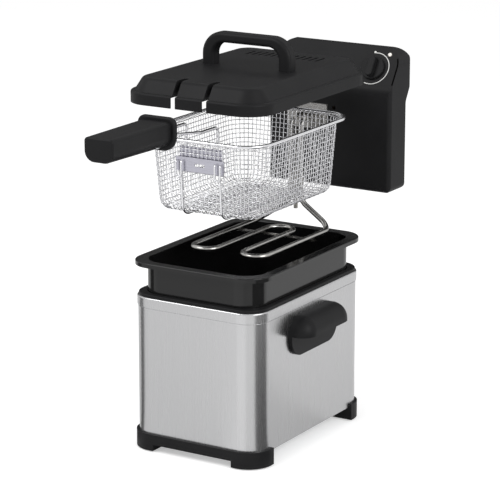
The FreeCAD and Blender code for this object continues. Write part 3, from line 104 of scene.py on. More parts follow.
def emboss(tree, shader, factor, strength, height):
    """Raises the surface by a factor, to a height in metres."""
    relief = add(tree, "ShaderNodeBump", {"Height": factor, "Strength": strength, "Distance": height})
    tree.links.new(relief.outputs["Normal"], shader.inputs["Normal"])


def dress(material, *names):
    """Gives CAD nodes a finish."""
    for name in names:
        nodes[name].data.materials.clear()
        nodes[name].data.materials.append(material)


# ABS from a spark-eroded mould: a matt skin with a fine grain and faint flow clouds, which reflects softly.
# The real grain is about 0.3 mm, and it is drawn at 1.5 mm so that it shows.
black_abs, tree, shader, place = new_finish("black ABS, fine moulded grain",
                                            {"IOR": 1.52, "Specular IOR Level": 0.1})
flow = noise(tree, place, size=0.05, detail=2.0)
tint(tree, shader, flow, "#171718", "#1f1f20")
grain = noise(tree, place, size=0.0015, detail=3.0)
roughen(tree, shader, grain, least=0.38, most=0.52)
emboss(tree, shader, grain, strength=0.12, height=0.0002)

dress(black_abs, "front_foot_rail", "rear_foot_rail")


# Foot pads
# Four soft rubber discs pressed into the feet so that the fryer doesn't slide on a worktop.
# Moulded rubber is dull, with a slight bloom.

pad_rubber, tree, shader, place = new_finish("black rubber, moulded",
                                             {"IOR": 1.5, "Specular IOR Level": 0.25})
bloom = noise(tree, place, size=0.006, detail=4.0)
tint(tree, shader, bloom, "#141414", "#242424")
roughen(tree, shader, bloom, least=0.75, most=0.95)

dress(pad_rubber, "foot_pads")


# Base pan
# A shallow tray pressed from galvanised sheet that closes the housing below.
# The zinc has frozen in spangles about 9 mm across, each a little lighter or darker than the next.

spangle_size = 0.009
galvanised, tree, shader, place = new_finish("galvanised sheet, spangled", {"Metallic": 1.0})
spangle = add(tree, "ShaderNodeTexVoronoi", {"Vector": place, "Scale": 1 / spangle_size}).outputs["Color"]
tint(tree, shader, spangle, "#8f9498", "#b3b7ba")
roughen(tree, shader, spangle, least=0.34, most=0.52)

dress(galvanised, "base_pan")


# Steel shell
# A band of stainless sheet folded round the housing, with rounded corners and a raised band along its top.
# It is brushed up and down, so the light spreads sideways and the corners show soft upright streaks.

# A real brush line is about 0.1 mm wide, and it is drawn at 1.6 mm and 150 mm long so that it just shows.
brush_width, brush_length = 0.0016, 0.15
steel_brushed, tree, shader, place = new_finish("stainless steel, brushed", {"Metallic": 1.0})
along = add(tree, "ShaderNodeMapping",
            {"Vector": place, "Scale": (1 / brush_width, 1 / brush_width, 1 / brush_length)})
brush = noise(tree, along.outputs["Vector"], size=1.0, detail=4.0)
tint(tree, shader, brush, "#b4b4b5", "#bababb")
roughen(tree, shader, brush, least=0.25, most=0.29)
emboss(tree, shader, brush, strength=0.006, height=0.0001)

dress(steel_brushed, "steel_shell")


# Collar, side handles and rear guide
# Black ABS mouldings: the collar lines the shell's top and carries the bowl, and each side handle is a scoop
# for the fingers. The guide at the rear has two rails and a shelf that the control unit stands on.

dress(black_abs, "rim_collar", "side_handle_right", "side_handle_left", "rear_guide")


# Screws
# Pan-head screws of zinc-plated steel with a cross recess, with heads all of one size.
# They hold the base, the handles and guide, the covers, the grip and the lid's handle.

zinc_plated, tree, shader, place = new_finish("zinc-plated steel", {"Metallic": 1.0})
cloud = noise(tree, place, size=0.002, detail=2.0)
tint(tree, shader, cloud, "#a9abae", "#c9cacc")
roughen(tree, shader, cloud, least=0.25, most=0.4)


def screw_body(length):
    """A screw along +Z with its head's seat at the origin and its shank below."""
    head, shoulder, crown, shank, recess, arm = 0.0035, 0.0031, 0.0024, 0.0017, 0.0019, 0.0005
    edge_z, shoulder_z, crown_z, bed_z, bed_taper = 0.0008, 0.0015, 0.0019, 0.0008, 0.8
    steps = 24
    bm = bmesh.new()

    def ring(radius, z):
        turns = [2 * math.pi * i / steps for i in range(steps)]
        return [bm.verts.new((radius * math.cos(t), radius * math.sin(t), z)) for t in turns]

    rings = [ring(shank, -length), ring(shank, 0), ring(head, 0), ring(head, edge_z),
             ring(shoulder, shoulder_z), ring(crown, crown_z)]
    for low, high in zip(rings, rings[1:]):
        for i in range(steps):
            bm.faces.new((low[i - 1], low[i], high[i], high[i - 1]))
    bm.faces.new(list(reversed(rings[0])))
    cross = []
    for quarter in range(4):
        turn = Matrix.Rotation(quarter * math.pi / 2, 3, "Z")
        cross += [turn @ Vector((x, y, crown_z)) for x, y in ((arm, arm), (arm, recess), (-arm, recess))]
    lip = [bm.verts.new(p) for p in cross]
    bed = [bm.verts.new((p.x * bed_taper, p.y * bed_taper, bed_z)) for p in cross]
    count = len(cross)
    edges = [bm.edges.new((lip[i - 1], lip[i])) for i in range(count)]
    edges += [bm.edges.get((rings[-1][i - 1], rings[-1][i])) for i in range(steps)]
    bmesh.ops.triangle_fill(bm, use_beauty=True, edges=edges)
    for i in range(count):
        bm.faces.new((lip[i - 1], lip[i], bed[i], bed[i - 1]))
    bm.faces.new(bed)
    bmesh.ops.recalc_face_normals(bm, faces=bm.faces)
    mesh = bpy.data.meshes.new("screw")
    bm.to_mesh(mesh)
    bm.free()
    return bpy.data.objects.new("screw", mesh)


def new_tree(name, sockets):
    """A Geometry Nodes tree with its geometry in and out and its named sizes."""
    tree = bpy.data.node_groups.new(name, "GeometryNodeTree")
    tree.interface.new_socket("Geometry", in_out="INPUT", socket_type="NodeSocketGeometry")
    for label, kind in sockets.items():
        tree.interface.new_socket(label, in_out="INPUT", socket_type=kind)
    tree.interface.new_socket("Geometry", in_out="OUTPUT", socket_type="NodeSocketGeometry")
    return tree, add(tree, "NodeGroupInput").outputs


def grown(tree, name, mesh, sizes):
    """Runs a tree on a mesh and keeps what it makes as a plain mesh."""
    piece = bpy.data.objects.new(name, mesh)
    bpy.context.scene.collection.objects.link(piece)
    modifier = piece.modifiers.new(name, "NODES")
    modifier.node_group = tree
    for socket in tree.interface.items_tree:
        if socket.in_out == "INPUT" and socket.name in sizes:
            modifier[socket.identifier] = sizes[socket.name]
    made = bpy.data.meshes.new_from_object(piece.evaluated_get(bpy.context.evaluated_depsgraph_get()))
    piece.modifiers.remove(modifier)
    piece.data = made
    return piece


# The tree sets one screw on each point, turned to the point's own heading.
screw_tree, given = new_tree("screws on points", {"Screw": "NodeSocketObject"})
heading = add(screw_tree, "GeometryNodeInputNamedAttribute", {"Name": "heading"}, data_type="FLOAT_VECTOR")
turned = add(screw_tree, "FunctionNodeAlignRotationToVector", {"Vector": heading.outputs["Attribute"]},
             axis="Z")
shape = add(screw_tree, "GeometryNodeObjectInfo", {"Object": given["Screw"]})
placed = add(screw_tree, "GeometryNodeInstanceOnPoints",
             {"Points": given["Geometry"], "Instance": shape.outputs["Geometry"],
              "Rotation": turned.outputs["Rotation"]})
solid = add(screw_tree, "GeometryNodeRealizeInstances", {"Geometry": placed.outputs["Instances"]})
plated = add(screw_tree, "GeometryNodeSetMaterial",
             {"Geometry": solid.outputs["Geometry"], "Material": zinc_plated})
add(screw_tree, "NodeGroupOutput", {"Geometry": plated.outputs["Geometry"]})

# The seats are set out in millimetres from the middle of the shell, and the covers' from the casing's back.
shell_low, shell_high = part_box("steel_shell")
housing_y = 1000 * (shell_low.y + shell_high.y) / 2
head_proud = 16
casing_back = 1000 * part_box("unit_rear_cover")[1].y - head_proud
base_x, base_y, base_z = 81, 125, 6.5
guide_x, guide_y, guide_z = 30, 142.8, 158.25
side_x, side_y, side_z = 98.8, 35, 151.0
cover_x, cover_low, cover_high = 84, 324.05, 420.05
grip_x, grip_y, grip_z = 16, -248, 449.45
lid_x, lid_z = 59.5, 509.1
hands = (-1, 1)
base_seats = [(i * base_x, housing_y + j * base_y, base_z) for i in hands for j in hands]
guide_seats = [(i * guide_x, housing_y + guide_y, guide_z) for i in hands]
right_seats = [(side_x, housing_y + j * side_y, side_z) for j in hands]
left_seats = [(-x, y, z) for x, y, z in right_seats]
cover_seats = [(i * cover_x, casing_back, z) for i in hands for z in (cover_low, cover_high)]
grip_seats = [(i * grip_x, housing_y + grip_y, grip_z) for i in hands]
lid_seats = [(i * lid_x, housing_y, lid_z) for i in hands]

# Each row: the node, its body, the screws' length in metres, and the seats with their heads' heading.
down, front, rear, right, left = (0, 0, -1), (0, -1, 0), (0, 1, 0), (1, 0, 0), (-1, 0, 0)
screw_rows = [
    ("base_screws", "housing", 0.017, [(down, s) for s in base_seats]),
    ("housing_screws", "housing", 0.005,
     [(front, s) for s in guide_seats] + [(right, s) for s in left_seats] + [(left, s) for s in right_seats]),
    ("cover_screws", "unit", 0.014, [(rear, s) for s in cover_seats]),
    ("grip_screws", "basket", 0.008, [(down, s) for s in grip_seats]),
    ("lid_screws", "lid", 0.016, [(down, s) for s in lid_seats]),
]
for node, body, length, seats in screw_rows:
    mesh = bpy.data.meshes.new(node)
    mesh.from_pydata([Vector(seat) / 1000 for _, seat in seats], [], [])
    mesh.attributes.new("heading", "FLOAT_VECTOR", "POINT")
    for i, (way, _) in enumerate(seats):
        mesh.attributes["heading"].data[i].vector = way
    screw = screw_body(length)
    screws = grown(screw_tree, "fitted_" + node, mesh, {"Screw": screw})
    bpy.data.objects.remove(screw)
    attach(screws, body)
    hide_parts(node)


# Oil bowl
# A deep-drawn aluminium bowl, coated black inside and out with a baked non-stick film.
# The film is smooth and half glossy, with a very fine speckle; its flange rests on the collar.

nonstick, tree, shader, place = new_finish("non-stick coating, baked",
                                           {"IOR": 1.45, "Specular IOR Level": 0.4})
speckle = noise(tree, place, size=0.0012, detail=3.0)
tint(tree, shader, speckle, "#0c0c0d", "#191919")
roughen(tree, shader, speckle, least=0.10, most=0.18)
orange_peel = noise(tree, place, size=0.006, detail=1.0)
emboss(tree, shader, orange_peel, strength=0.03, height=0.0003)

dress(nonstick, "oil_bowl")


# Heating element
# One stainless tube, bent cold into four runs and two legs, with the resistance wire inside.
# The brace is clipped across the runs, and the terminal plate and its pins close the legs' ends.

tube_steel, tree, shader, place = new_finish("stainless tube, drawn and heat-tinted", {"Metallic": 1.0})
heat = noise(tree, place, size=0.03, detail=3.0)
tint(tree, shader, heat, "#8b8985", "#bfbebc")
roughen(tree, shader, heat, least=0.18, most=0.32)

dress(tube_steel, "heating_element", "element_brace", "terminal_plate", "terminal_pins")


# Thermostat bulb
# A drawn copper bulb upright between the legs, nickel plated, with a capillary up to the terminal plate.
# The plating is a warm grey that dulls in patches where the oil is hottest.

bulb_plating, tree, shader, place = new_finish("copper, nickel plated and dulled", {"Metallic": 1.0})
patch = noise(tree, place, size=0.012, detail=3.0)
tint(tree, shader, patch, "#8e8b86", "#b5b2ad")
roughen(tree, shader, patch, least=0.28, most=0.5)

dress(bulb_plating, "thermostat_bulb")


# Control unit casing
# Two black ABS mouldings that meet at a seam near the back, with a leaning panel for the dial.
# A rubber gland in the rear cover takes the mains lead.

dress(black_abs, "unit_front_cover", "unit_rear_cover")
dress(pad_rubber, "cord_gland")


# Dial scale
# A white arc and a dot, pad-printed on the leaning panel round the knob.
# The ink lies on the grain as a thin flat film, a little uneven in tone.

pad_print, tree, shader, place = new_finish("white pad print", {"IOR": 1.5, "Specular IOR Level": 0.3})
ink = noise(tree, place, size=0.001, detail=2.0)
tint(tree, shader, ink, "#c9c9c7", "#efefec")
roughen(tree, shader, ink, least=0.5, most=0.7)

# The knob's hinge gives the dial's middle and the panel's slope.
hinge = next(joint for joint in frame["joints"] if joint["name"] == "knob_turn")
dial, across, outward = Vector(hinge["pos_m"]), Vector((1, 0, 0)), -Vector(hinge["axis"])
upward = outward.cross(across)
film_under, film_top = outward * 0.00002, outward * 0.00006


def on_dial(radius, degrees):
    """A point of the panel at a clock angle from the dial's top."""
    turn = math.radians(degrees)
    return dial + across * (radius * math.sin(turn)) + upward * (radius * math.cos(turn))


def lay_film(bm, inner, outer):
    """A closed film between two lines of points on the panel."""
    rings = [[bm.verts.new(p) for p in (a + film_under, b + film_under, b + film_top, a + film_top)]
             for a, b in zip(inner, outer)]
    for first, last in zip(rings, rings[1:]):
        for i in range(4):
            bm.faces.new((first[i - 1], first[i], last[i], last[i - 1]))
    bm.faces.new(rings[0])
    bm.faces.new(list(reversed(rings[-1])))


def film_piece(name, bm, material):
    """The films as one piece."""
    bmesh.ops.recalc_face_normals(bm, faces=bm.faces)
    mesh = bpy.data.meshes.new(name)
    bm.to_mesh(mesh)
    bm.free()
    mesh.materials.append(material)
    piece = bpy.data.objects.new(name, mesh)
    bpy.context.scene.collection.objects.link(piece)
    return piece


arc_radius, arc_start, arc_end, arc_steps, arc_width = 0.0239, -8, 200, 84, 0.0011
dot_reach, dot_turn, dot_radius, dot_steps = 0.0252, -10, 0.0017, 10
bm = bmesh.new()
turns = [arc_start + (arc_end - arc_start) * i / arc_steps for i in range(arc_steps + 1)]
lay_film(bm, *[[on_dial(radius, t) for t in turns]
               for radius in (arc_radius - arc_width / 2, arc_radius + arc_width / 2)])
dot = on_dial(dot_reach, dot_turn)
turns = [math.pi * (i + 0.5) / dot_steps for i in range(dot_steps)]
lay_film(bm, *[[dot + (across * hand * math.sin(t) + upward * math.cos(t)) * dot_radius for t in turns]
               for hand in hands])
scale = film_piece("dial_scale", bm, pad_print)
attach(scale, "unit")


# Panel groove shade
# A fine groove is moulded down each side of the panel, where it meets the casing's cheek.
# The groove is not cut: its shade is painted on the panel as a thin line of dull black, with a faint mottle.

painted_groove_shade, tree, shader, place = new_finish("painted shade of the panel grooves",
                                               {"IOR": 1.52, "Specular IOR Level": 0.0})
# Painted shade: the line's dull black varies a little at random in tone.
shade_mottle = noise(tree, place, size=0.004, detail=2.0)
tint(tree, shader, shade_mottle, "#040404", "#0a0a0a")
roughen(tree, shader, shade_mottle, least=0.85, most=1.0)

# Each line is straight at first, and then follows the round of the casing's top corner a little way.
casing_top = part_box("unit_front_cover")[1]
corner_radius, corner_turn, corner_steps = 0.026, math.radians(30), 5
groove_length, groove_inset, groove_width = 0.022, 0.0006, 0.0022
corner_x, corner_z = casing_top.x - corner_radius, casing_top.z - corner_radius
turns = [corner_turn * i / corner_steps for i in range(corner_steps + 1)]
bm = bmesh.new()
for hand in hands:
    edges = []
    for inset in (groove_inset, groove_inset + groove_width):
        reach = corner_radius - inset
        spots = [(corner_x + reach, corner_z - groove_length)]
        spots += [(corner_x + reach * math.cos(t), corner_z + reach * math.sin(t)) for t in turns]
        edges.append([dial + across * (hand * x - dial.x) + upward * ((z - dial.z) / upward.z)
                      for x, z in spots])
    lay_film(bm, *edges)
lines = film_piece("panel_lines", bm, painted_groove_shade)
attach(lines, "unit")


# Switchgear
# Plain phenolic blocks inside the casing: the thermostat, the terminal block, the cut-out and the interlock.
# Pressed phenolic is dull brown-black with a faint mottle.

phenolic, tree, shader, place = new_finish("phenolic, pressed", {"IOR": 1.6, "Specular IOR Level": 0.35})
mottle = noise(tree, place, size=0.004, detail=4.0)
tint(tree, shader, mottle, "#2c221b", "#4a3a2f")
roughen(tree, shader, mottle, least=0.5, most=0.7)

dress(phenolic, "thermostat_body", "terminal_block", "thermal_cutout", "interlock_switch")


# Pilot lamp
# A clear lens over a small neon lamp, pressed into the panel beside the scale.
# Polished polycarbonate, pale when the lamp is off.

lamp_lens, tree, shader, place = new_finish("polycarbonate lens, clear",
                                            {"IOR": 1.585, "Roughness": 0.08, "Coat Weight": 0.3})
tone = noise(tree, place, size=0.0025, detail=1.0)
tint(tree, shader, tone, "#c9c3bb", "#ece8e2")

dress(lamp_lens, "pilot_lamp")


# Reset button
# A red push button in the rear cover that closes the cut-out again after it has tripped.
# Polished red ABS.

reset_red, tree, shader, place = new_finish("red ABS, polished", {"IOR": 1.52, "Roughness": 0.2})
swirl = noise(tree, place, size=0.004, detail=1.0)
tint(tree, shader, swirl, "#8f1512", "#b3211c")

dress(reset_red, "reset_button")


# Temperature knob and spindle
# A black ABS knob with a finger bar, pushed onto the thermostat's turned brass spindle.
# Its bar is the pointer, and at rest it points up the panel to the scale's start.

brass, tree, shader, place = new_finish("brass, turned", {"Metallic": 1.0})
turning = noise(tree, place, size=0.0008, detail=2.0)
tint(tree, shader, turning, "#b1924f", "#d2b877")
roughen(tree, shader, turning, least=0.25, most=0.4)

dress(brass, "thermostat_spindle")
dress(black_abs, "temperature_knob")


# Basket wires
# The rim, the feet under the floor, the hooks and the handle wires are drawn steel wire, bent and welded.
# Bright nickel plating gives a clear mirror with a faint haze.

nickel, tree, shader, place = new_finish("steel wire, bright nickel plated", {"Metallic": 1.0})
haze = noise(tree, place, size=0.008, detail=3.0)
tint(tree, shader, haze, "#d2d2d5", "#e8e8ea")
roughen(tree, shader, haze, least=0.14, most=0.26)

dress(nickel, "basket_rim", "frame_wires", "drain_hooks", "handle_wires")


# Basket cloth
# Plain-woven wire cloth, pressed into a tapered box with rounded corners and rolled over the rim wire.
# Each wire goes over one and under the next, and the nickel plating joins them where they cross.

# Sizes in millimetres, with fronts and rears from the middle of the shell.
body_half, body_front, body_rear, body_corner = 87.5, housing_y - 124.4, housing_y + 111.3, 34.0
mouth_half, mouth_front, mouth_rear, mouth_corner = 94.7, housing_y - 138.7, housing_y + 115.0, 35.7
rim_z, flare, depth, taper, floor_round, half_wall = 435.3, 2.0, 105.0, 9.0, 14.0, 0.6
wire, crimp, wire_sides, wire_steps = 1.1, 0.45, 6, 2
across_count, along_count, corner_count, wall_count, turn_count = 17, 27, 8, 14, 3


def plan_points(half, front_y, rear_y, corner):
    """Points round a rounded rectangle, anticlockwise from its right side, with their outward directions."""
    points = []
    straight_x, straight_y = half - corner, (rear_y - front_y) / 2 - corner
    middle = (front_y + rear_y) / 2
    corners = ((straight_x, straight_y), (-straight_x, straight_y), (-straight_x, -straight_y),
               (straight_x, -straight_y))
    runs = (along_count, across_count, along_count, across_count)
    for side in range(4):
        here, there = Vector(corners[side - 1]), Vector(corners[side])
        facing = side * math.pi / 2
        for i in range(runs[side]):
            spot = here.lerp(there, i / runs[side])
            points.append((spot, facing))
        for i in range(corner_count):
            points.append((there, facing + i * math.pi / 2 / corner_count))
    out = []
    for spot, facing in points:
        way = Vector((math.cos(facing), math.sin(facing)))
        out.append((spot + way * corner + Vector((0, middle)), way))
    return out


# The rows climb from the floor's edge round the turn, up the wall and out over the flare to the rim.
rows = []
floor_z = rim_z - depth
lean = taper / (depth - flare)
wall_foot = floor_z + floor_round
for i in range(turn_count + 1):
    angle = math.pi / 2 * i / turn_count
    inset = lean * (rim_z - flare - wall_foot) + floor_round * (1 - math.sin(angle)) + half_wall
    rows.append((inset, wall_foot - floor_round * math.cos(angle) + half_wall * math.cos(angle), angle))
for i in range(1, wall_count + 1):
    z = wall_foot + (rim_z - flare - wall_foot) * i / wall_count
    rows.append((lean * (rim_z - flare - z) + half_wall, z, math.pi / 2))

bm = bmesh.new()
over = bm.verts.layers.float.new("over")
out_layer = bm.verts.layers.float_vector.new("out")
ring_layer = bm.edges.layers.int.new("ring")


def knot(place_mm, out, sign):
    """One crossing of the cloth."""
    vert = bm.verts.new(Vector(place_mm) / 1000)
    vert[over] = sign
    vert[out_layer] = out
    return vert


grid = []
for r, (inset, z, angle) in enumerate(rows):
    plan = plan_points(body_half - inset, body_front + inset, body_rear - inset, body_corner - inset)
    grid.append([knot((p.x, p.y, z), (w.x * math.sin(angle), w.y * math.sin(angle), -math.cos(angle)),
                      (-1) ** (r + c) if r else 0) for c, (p, w) in enumerate(plan)])
mouth = plan_points(mouth_half, mouth_front, mouth_rear, mouth_corner)
grid.append([knot((p.x, p.y, rim_z), down, 0) for p, _ in mouth])
columns = len(grid[0])
for r, row in enumerate(grid):
    for c in range(columns):
        bm.edges.new((row[c - 1], row[c]))[ring_layer] = 1
        if r:
            bm.edges.new((grid[r - 1][c], row[c]))

# The floor's wires go on from the wall's upright wires and end at the turn.
edge = grid[0]
rear_start = along_count + corner_count
left_start = rear_start + across_count + corner_count
front_start = left_start + along_count + corner_count
right_side = edge[:along_count + 1]
rear_side = edge[rear_start:rear_start + across_count + 1]
left_side = edge[left_start:left_start + along_count + 1]
front_side = edge[front_start:front_start + across_count + 1]
floor = {}
for j, vert in enumerate(right_side):
    for i, other in enumerate(reversed(rear_side)):
        spot = (other.co.x * 1000, vert.co.y * 1000, floor_z + half_wall)
        floor[i, j] = knot(spot, down, (-1) ** (i + j))
for j in range(along_count + 1):
    run = [left_side[along_count - j]] + [floor[i, j] for i in range(across_count + 1)] + [right_side[j]]
    for a, b in zip(run, run[1:]):
        bm.edges.new((a, b))
for i in range(across_count + 1):
    run = [front_side[i]] + [floor[i, j] for j in range(along_count + 1)] + [rear_side[across_count - i]]
    for a, b in zip(run, run[1:]):
        bm.edges.new((a, b))[ring_layer] = 1
mesh = bpy.data.meshes.new("basket_cloth")
bm.to_mesh(mesh)
bm.free()

# The tree parts the net into its two sets of wires, bends each over and under the other, and makes it round.
cloth_tree, given = new_tree("woven wire cloth",
                             {"Wire Radius": "NodeSocketFloat", "Crimp": "NodeSocketFloat"})
side = add(cloth_tree, "GeometryNodeInputNamedAttribute", {"Name": "out"}, data_type="FLOAT_VECTOR")
weave = add(cloth_tree, "GeometryNodeInputNamedAttribute", {"Name": "over"}, data_type="FLOAT")
ring = add(cloth_tree, "GeometryNodeInputNamedAttribute", {"Name": "ring"}, data_type="INT")
section = add(cloth_tree, "GeometryNodeCurvePrimitiveCircle",
              {"Resolution": wire_sides, "Radius": given["Wire Radius"]})
sway = add(cloth_tree, "ShaderNodeMath", {0: weave.outputs["Attribute"], 1: given["Crimp"]},
           operation="MULTIPLY")
both = add(cloth_tree, "GeometryNodeJoinGeometry")
for sign, wanted in ((1.0, 0), (-1.0, 1)):
    signed = add(cloth_tree, "ShaderNodeMath", {0: sway.outputs["Value"], 1: sign}, operation="MULTIPLY")
    shift = add(cloth_tree, "ShaderNodeVectorMath",
                {0: side.outputs["Attribute"], "Scale": signed.outputs["Value"]}, operation="SCALE")
    bent = add(cloth_tree, "GeometryNodeSetPosition",
               {"Geometry": given["Geometry"], "Offset": shift.outputs["Vector"]})
    mine = add(cloth_tree, "FunctionNodeCompare", {2: ring.outputs["Attribute"], 3: wanted},
               data_type="INT", operation="EQUAL")
    strands = add(cloth_tree, "GeometryNodeMeshToCurve",
                  {"Mesh": bent.outputs["Geometry"], "Selection": mine.outputs["Result"]})
    smooth = add(cloth_tree, "GeometryNodeCurveSplineType", {"Curve": strands.outputs["Curve"]},
                 spline_type="CATMULL_ROM")
    finer = add(cloth_tree, "GeometryNodeSetSplineResolution",
                {"Geometry": smooth.outputs["Curve"], "Resolution": wire_steps})
    tube = add(cloth_tree, "GeometryNodeCurveToMesh",
               {"Curve": finer.outputs["Geometry"], "Profile Curve": section.outputs["Curve"],
                "Fill Caps": True})
    cloth_tree.links.new(tube.outputs["Mesh"], both.inputs["Geometry"])
shaded = add(cloth_tree, "GeometryNodeSetShadeSmooth", {"Geometry": both.outputs["Geometry"]})
solid = add(cloth_tree, "GeometryNodeRealizeInstances", {"Geometry": shaded.outputs["Geometry"]})
plated = add(cloth_tree, "GeometryNodeSetMaterial",
             {"Geometry": solid.outputs["Geometry"], "Material": nickel})
add(cloth_tree, "NodeGroupOutput", {"Geometry": plated.outputs["Geometry"]})

cloth = grown(cloth_tree, "basket_cloth", mesh, {"Wire Radius": wire / 2 / 1000, "Crimp": crimp / 1000})
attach(cloth, "basket")
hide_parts("basket_mesh")


# Bracket and inner plate
# Two stainless plates welded to the basket's front, one outside the cloth and one inside at the handle wires.
# Bright rolled sheet, brushed lightly along its length.

rolled_length, rolled_width = 0.03, 0.001
plate_steel, tree, shader, place = new_finish("stainless sheet, bright rolled", {"Metallic": 1.0})
along = add(tree, "ShaderNodeMapping",
            {"Vector": place, "Scale": (1 / rolled_length, 1 / rolled_length, 1 / rolled_width)})
rolled = noise(tree, along.outputs["Vector"], size=1.0, detail=3.0)
tint(tree, shader, rolled, "#a7a6b0", "#c1c0ca")
roughen(tree, shader, rolled, least=0.22, most=0.34)

dress(plate_steel, "front_bracket", "inner_plate")


# Grip
# A black ABS grip with a guard at its end that keeps the fingers off the hot basket.
# It is pushed over the two handle wires and clamped to them by screws from below.

dress(black_abs, "handle_grip")


# Lid
# A black ABS lid with a skirt that drops round the bowl's flange, an arched handle screwed on from below,
# and vents over a filter that a clipped cover holds.

dress(black_abs, "lid_shell", "lid_handle", "filter_cover")


# Lid filter
# A pad of knitted aluminium wire behind the vents that catches the grease in the steam.
# The loops are about 3 mm wide, and each is painted light in its middle and dark towards its edges, as
# painted shade in the gaps between the wires.

loop_width = 0.003
knitted, tree, shader, place = new_finish("aluminium wire, knitted", {"Metallic": 1.0})
# Painted shade: each cell is lighter at its middle and darker towards the gaps between the loops.
loops_and_gap_shade = add(tree, "ShaderNodeTexVoronoi", {"Vector": place, "Scale": 1 / loop_width}).outputs["Distance"]
tint(tree, shader, loops_and_gap_shade, "#c4c6c8", "#5a5c5e")
roughen(tree, shader, loops_and_gap_shade, least=0.3, most=0.6)

dress(knitted, "lid_filter")


# Floor
# A plain white sweep of studio paper that the object stands on.
# It takes the object's soft shadow, and beyond that it is as white as the backdrop.

sweep_size, sweep_z = 40, -0.0002
bpy.ops.mesh.primitive_plane_add(size=sweep_size, location=(0, 0, sweep_z))
sweep = bpy.context.object
sweep.name = "studio_floor"
paper, tree, shader, _ = new_finish("white paper", {"Base Color": linear("#f2f2f2"), "Roughness": 0.9,
                                                    "Specular IOR Level": 0.0})
# Lamps alone leave the paper a little grey, so it is lifted to white for the camera,
# and less for mirrors and glass.
camera_lift, mirror_lift = 0.42, 0.12
path = add(tree, "ShaderNodeLightPath")
mirrored = add(tree, "ShaderNodeMath",
               {0: path.outputs["Is Glossy Ray"], 1: path.outputs["Is Transmission Ray"]},
               operation="MAXIMUM")
low_lift = add(tree, "ShaderNodeMath", {0: mirrored.outputs["Value"], 1: mirror_lift},
               operation="MULTIPLY")
lift = add(tree, "ShaderNodeMath",
           {0: path.outputs["Is Camera Ray"], 1: camera_lift, 2: low_lift.outputs["Value"]},
           operation="MULTIPLY_ADD")
shader.inputs["Emission Color"].default_value = (1, 1, 1, 1)
tree.links.new(lift.outputs["Value"], shader.inputs["Emission Strength"])
sweep.data.materials.append(paper)


# Light
# A white surround, with one large soft lamp above the front left and a weaker one at the right.
# The surround is dimmer for matt surfaces than for the camera, mirrors and glass.

matt_level, seen_level = 0.6, 1.0
lamp_aim = Vector((0, 0, 0.28))
world = bpy.data.worlds.new("studio")
bpy.context.scene.world = world
world.use_nodes = True
tree = world.node_tree
path = add(tree, "ShaderNodeLightPath")
seen = add(tree, "ShaderNodeMath", {0: path.outputs["Is Camera Ray"], 1: path.outputs["Is Glossy Ray"]},
           operation="MAXIMUM")
seen = add(tree, "ShaderNodeMath", {0: seen.outputs["Value"], 1: path.outputs["Is Transmission Ray"]},
           operation="MAXIMUM")
level = add(tree, "ShaderNodeMapRange",
            {"Value": seen.outputs["Value"], "To Min": matt_level, "To Max": seen_level})
surround = tree.nodes["Background"]
surround.inputs["Color"].default_value = (1, 1, 1, 1)
tree.links.new(level.outputs["Result"], surround.inputs["Strength"])

# Each lamp: its name, its place in metres, its power in watts and its side in metres.
for name, spot, power, size in (("key", (-1.2, -1.8, 2.2), 34, 1.6), ("fill", (2.2, -0.6, 1.4), 30, 1.4)):
    lamp = bpy.data.lights.new(name, "AREA")
    lamp.energy, lamp.size = power, size
    holder = bpy.data.objects.new(name, lamp)
    holder.location = spot
    holder.rotation_mode = "QUATERNION"
    holder.rotation_quaternion = (lamp_aim - Vector(spot)).to_track_quat("-Z", "Y")
    bpy.context.scene.collection.objects.link(holder)


# Reflector cards
# Grey and white card laid on the floor round the set and stood behind it, so that bright steel and black tops
# have something to mirror. They give the shell's corners upright streaks, and only reflections see them.

card_grey, *_ = new_finish("grey card", {"Base Color": linear("#666666"), "Roughness": 0.9,
                                         "Specular IOR Level": 0.0})
card_white, *_ = new_finish("white card", {"Base Color": linear("#ffffff"), "Roughness": 0.9,
                                           "Specular IOR Level": 0.0, "Emission Strength": 0.22,
                                           "Emission Color": (1, 1, 1, 1)})


def reflector(name, corners, material):
    """A flat card that only mirrors see."""
    mesh = bpy.data.meshes.new(name)
    mesh.from_pydata(corners, [], [(0, 1, 2, 3)])
    mesh.materials.append(material)
    card = bpy.data.objects.new(name, mesh)
    bpy.context.scene.collection.objects.link(card)
    card.visible_camera = card.visible_diffuse = card.visible_shadow = card.visible_transmission = False


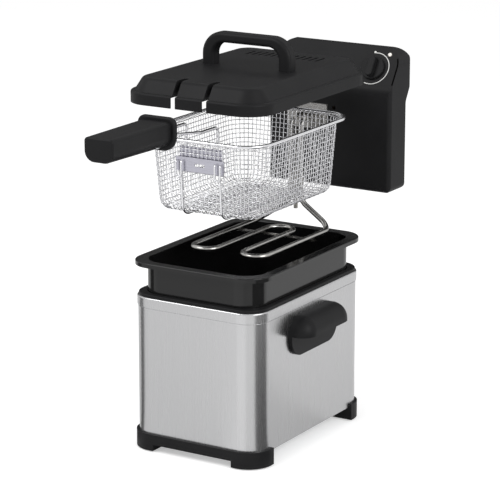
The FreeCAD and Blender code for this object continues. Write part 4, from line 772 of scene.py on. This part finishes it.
# Each card on the floor is a sector round the middle of a corner or of the housing, so that its streak
# stands upright. It starts near its hub and goes from one bearing to another, in degrees right of the front.
card_z, card_far, shell_half, shell_corner = 0.0004, 1.3, 0.1, 0.031
right_corner = Vector((shell_half - shell_corner, shell_low.y + shell_corner, card_z))
left_corner = right_corner * Vector((-1, 1, 1))
middle = Vector((0, housing_y / 1000, card_z))
for name, hub, near, first, last, material in (("left_card", left_corner, 0.06, -90, -62, card_grey),
                                               ("front_card", right_corner, 0.06, -30, 17, card_white),
                                               ("right_card", right_corner, 0.06, 61, 126, card_grey),
                                               ("side_card", middle, 0.17, 124, 172, card_white)):
    rays = [Vector((math.sin(t), -math.cos(t), 0)) for t in (math.radians(first), math.radians(last))]
    reflector(name, [hub + ray * reach for ray, reach in
                     zip((rays[0], rays[0], rays[1], rays[1]), (near, card_far, card_far, near))], material)

# The card behind the set stands square to the camera's view, where level black tops mirror it.
back_turn, back_reach, back_half, back_height = math.radians(31), 2.2, 1.9, 1.9
away = Vector((-math.sin(back_turn), math.cos(back_turn), 0))
aside = Vector((math.cos(back_turn), math.sin(back_turn), 0))
rise = Vector((0, 0, back_height))
left_foot, right_foot = away * back_reach - aside * back_half, away * back_reach + aside * back_half
reflector("back_card", [left_foot, right_foot, right_foot + rise, left_foot + rise], card_grey)


# Camera
# At the photograph's view: about 31 degrees to the right of the front and 15 degrees above level.
# Its lens is long, and its place is set out from the middle of the shell.

camera_x, camera_y, camera_z = 1.66045, -2.71927, 1.0981
azimuth, elevation = math.radians(31.38), math.radians(14.73)
behind = Vector((math.sin(azimuth) * math.cos(elevation), -math.cos(azimuth) * math.cos(elevation),
                 math.sin(elevation)))
view = bpy.data.cameras.new("camera")
view.lens, view.sensor_width, view.sensor_fit = 173.95, 36.0, "HORIZONTAL"
camera = bpy.data.objects.new("camera", view)
camera.location = (camera_x, housing_y / 1000 + camera_y, camera_z)
camera.rotation_mode = "QUATERNION"
camera.rotation_quaternion = (-behind).to_track_quat("-Z", "Y")
bpy.context.scene.collection.objects.link(camera)
bpy.context.scene.camera = camera
bpy.context.scene.view_settings.view_transform = "Standard"
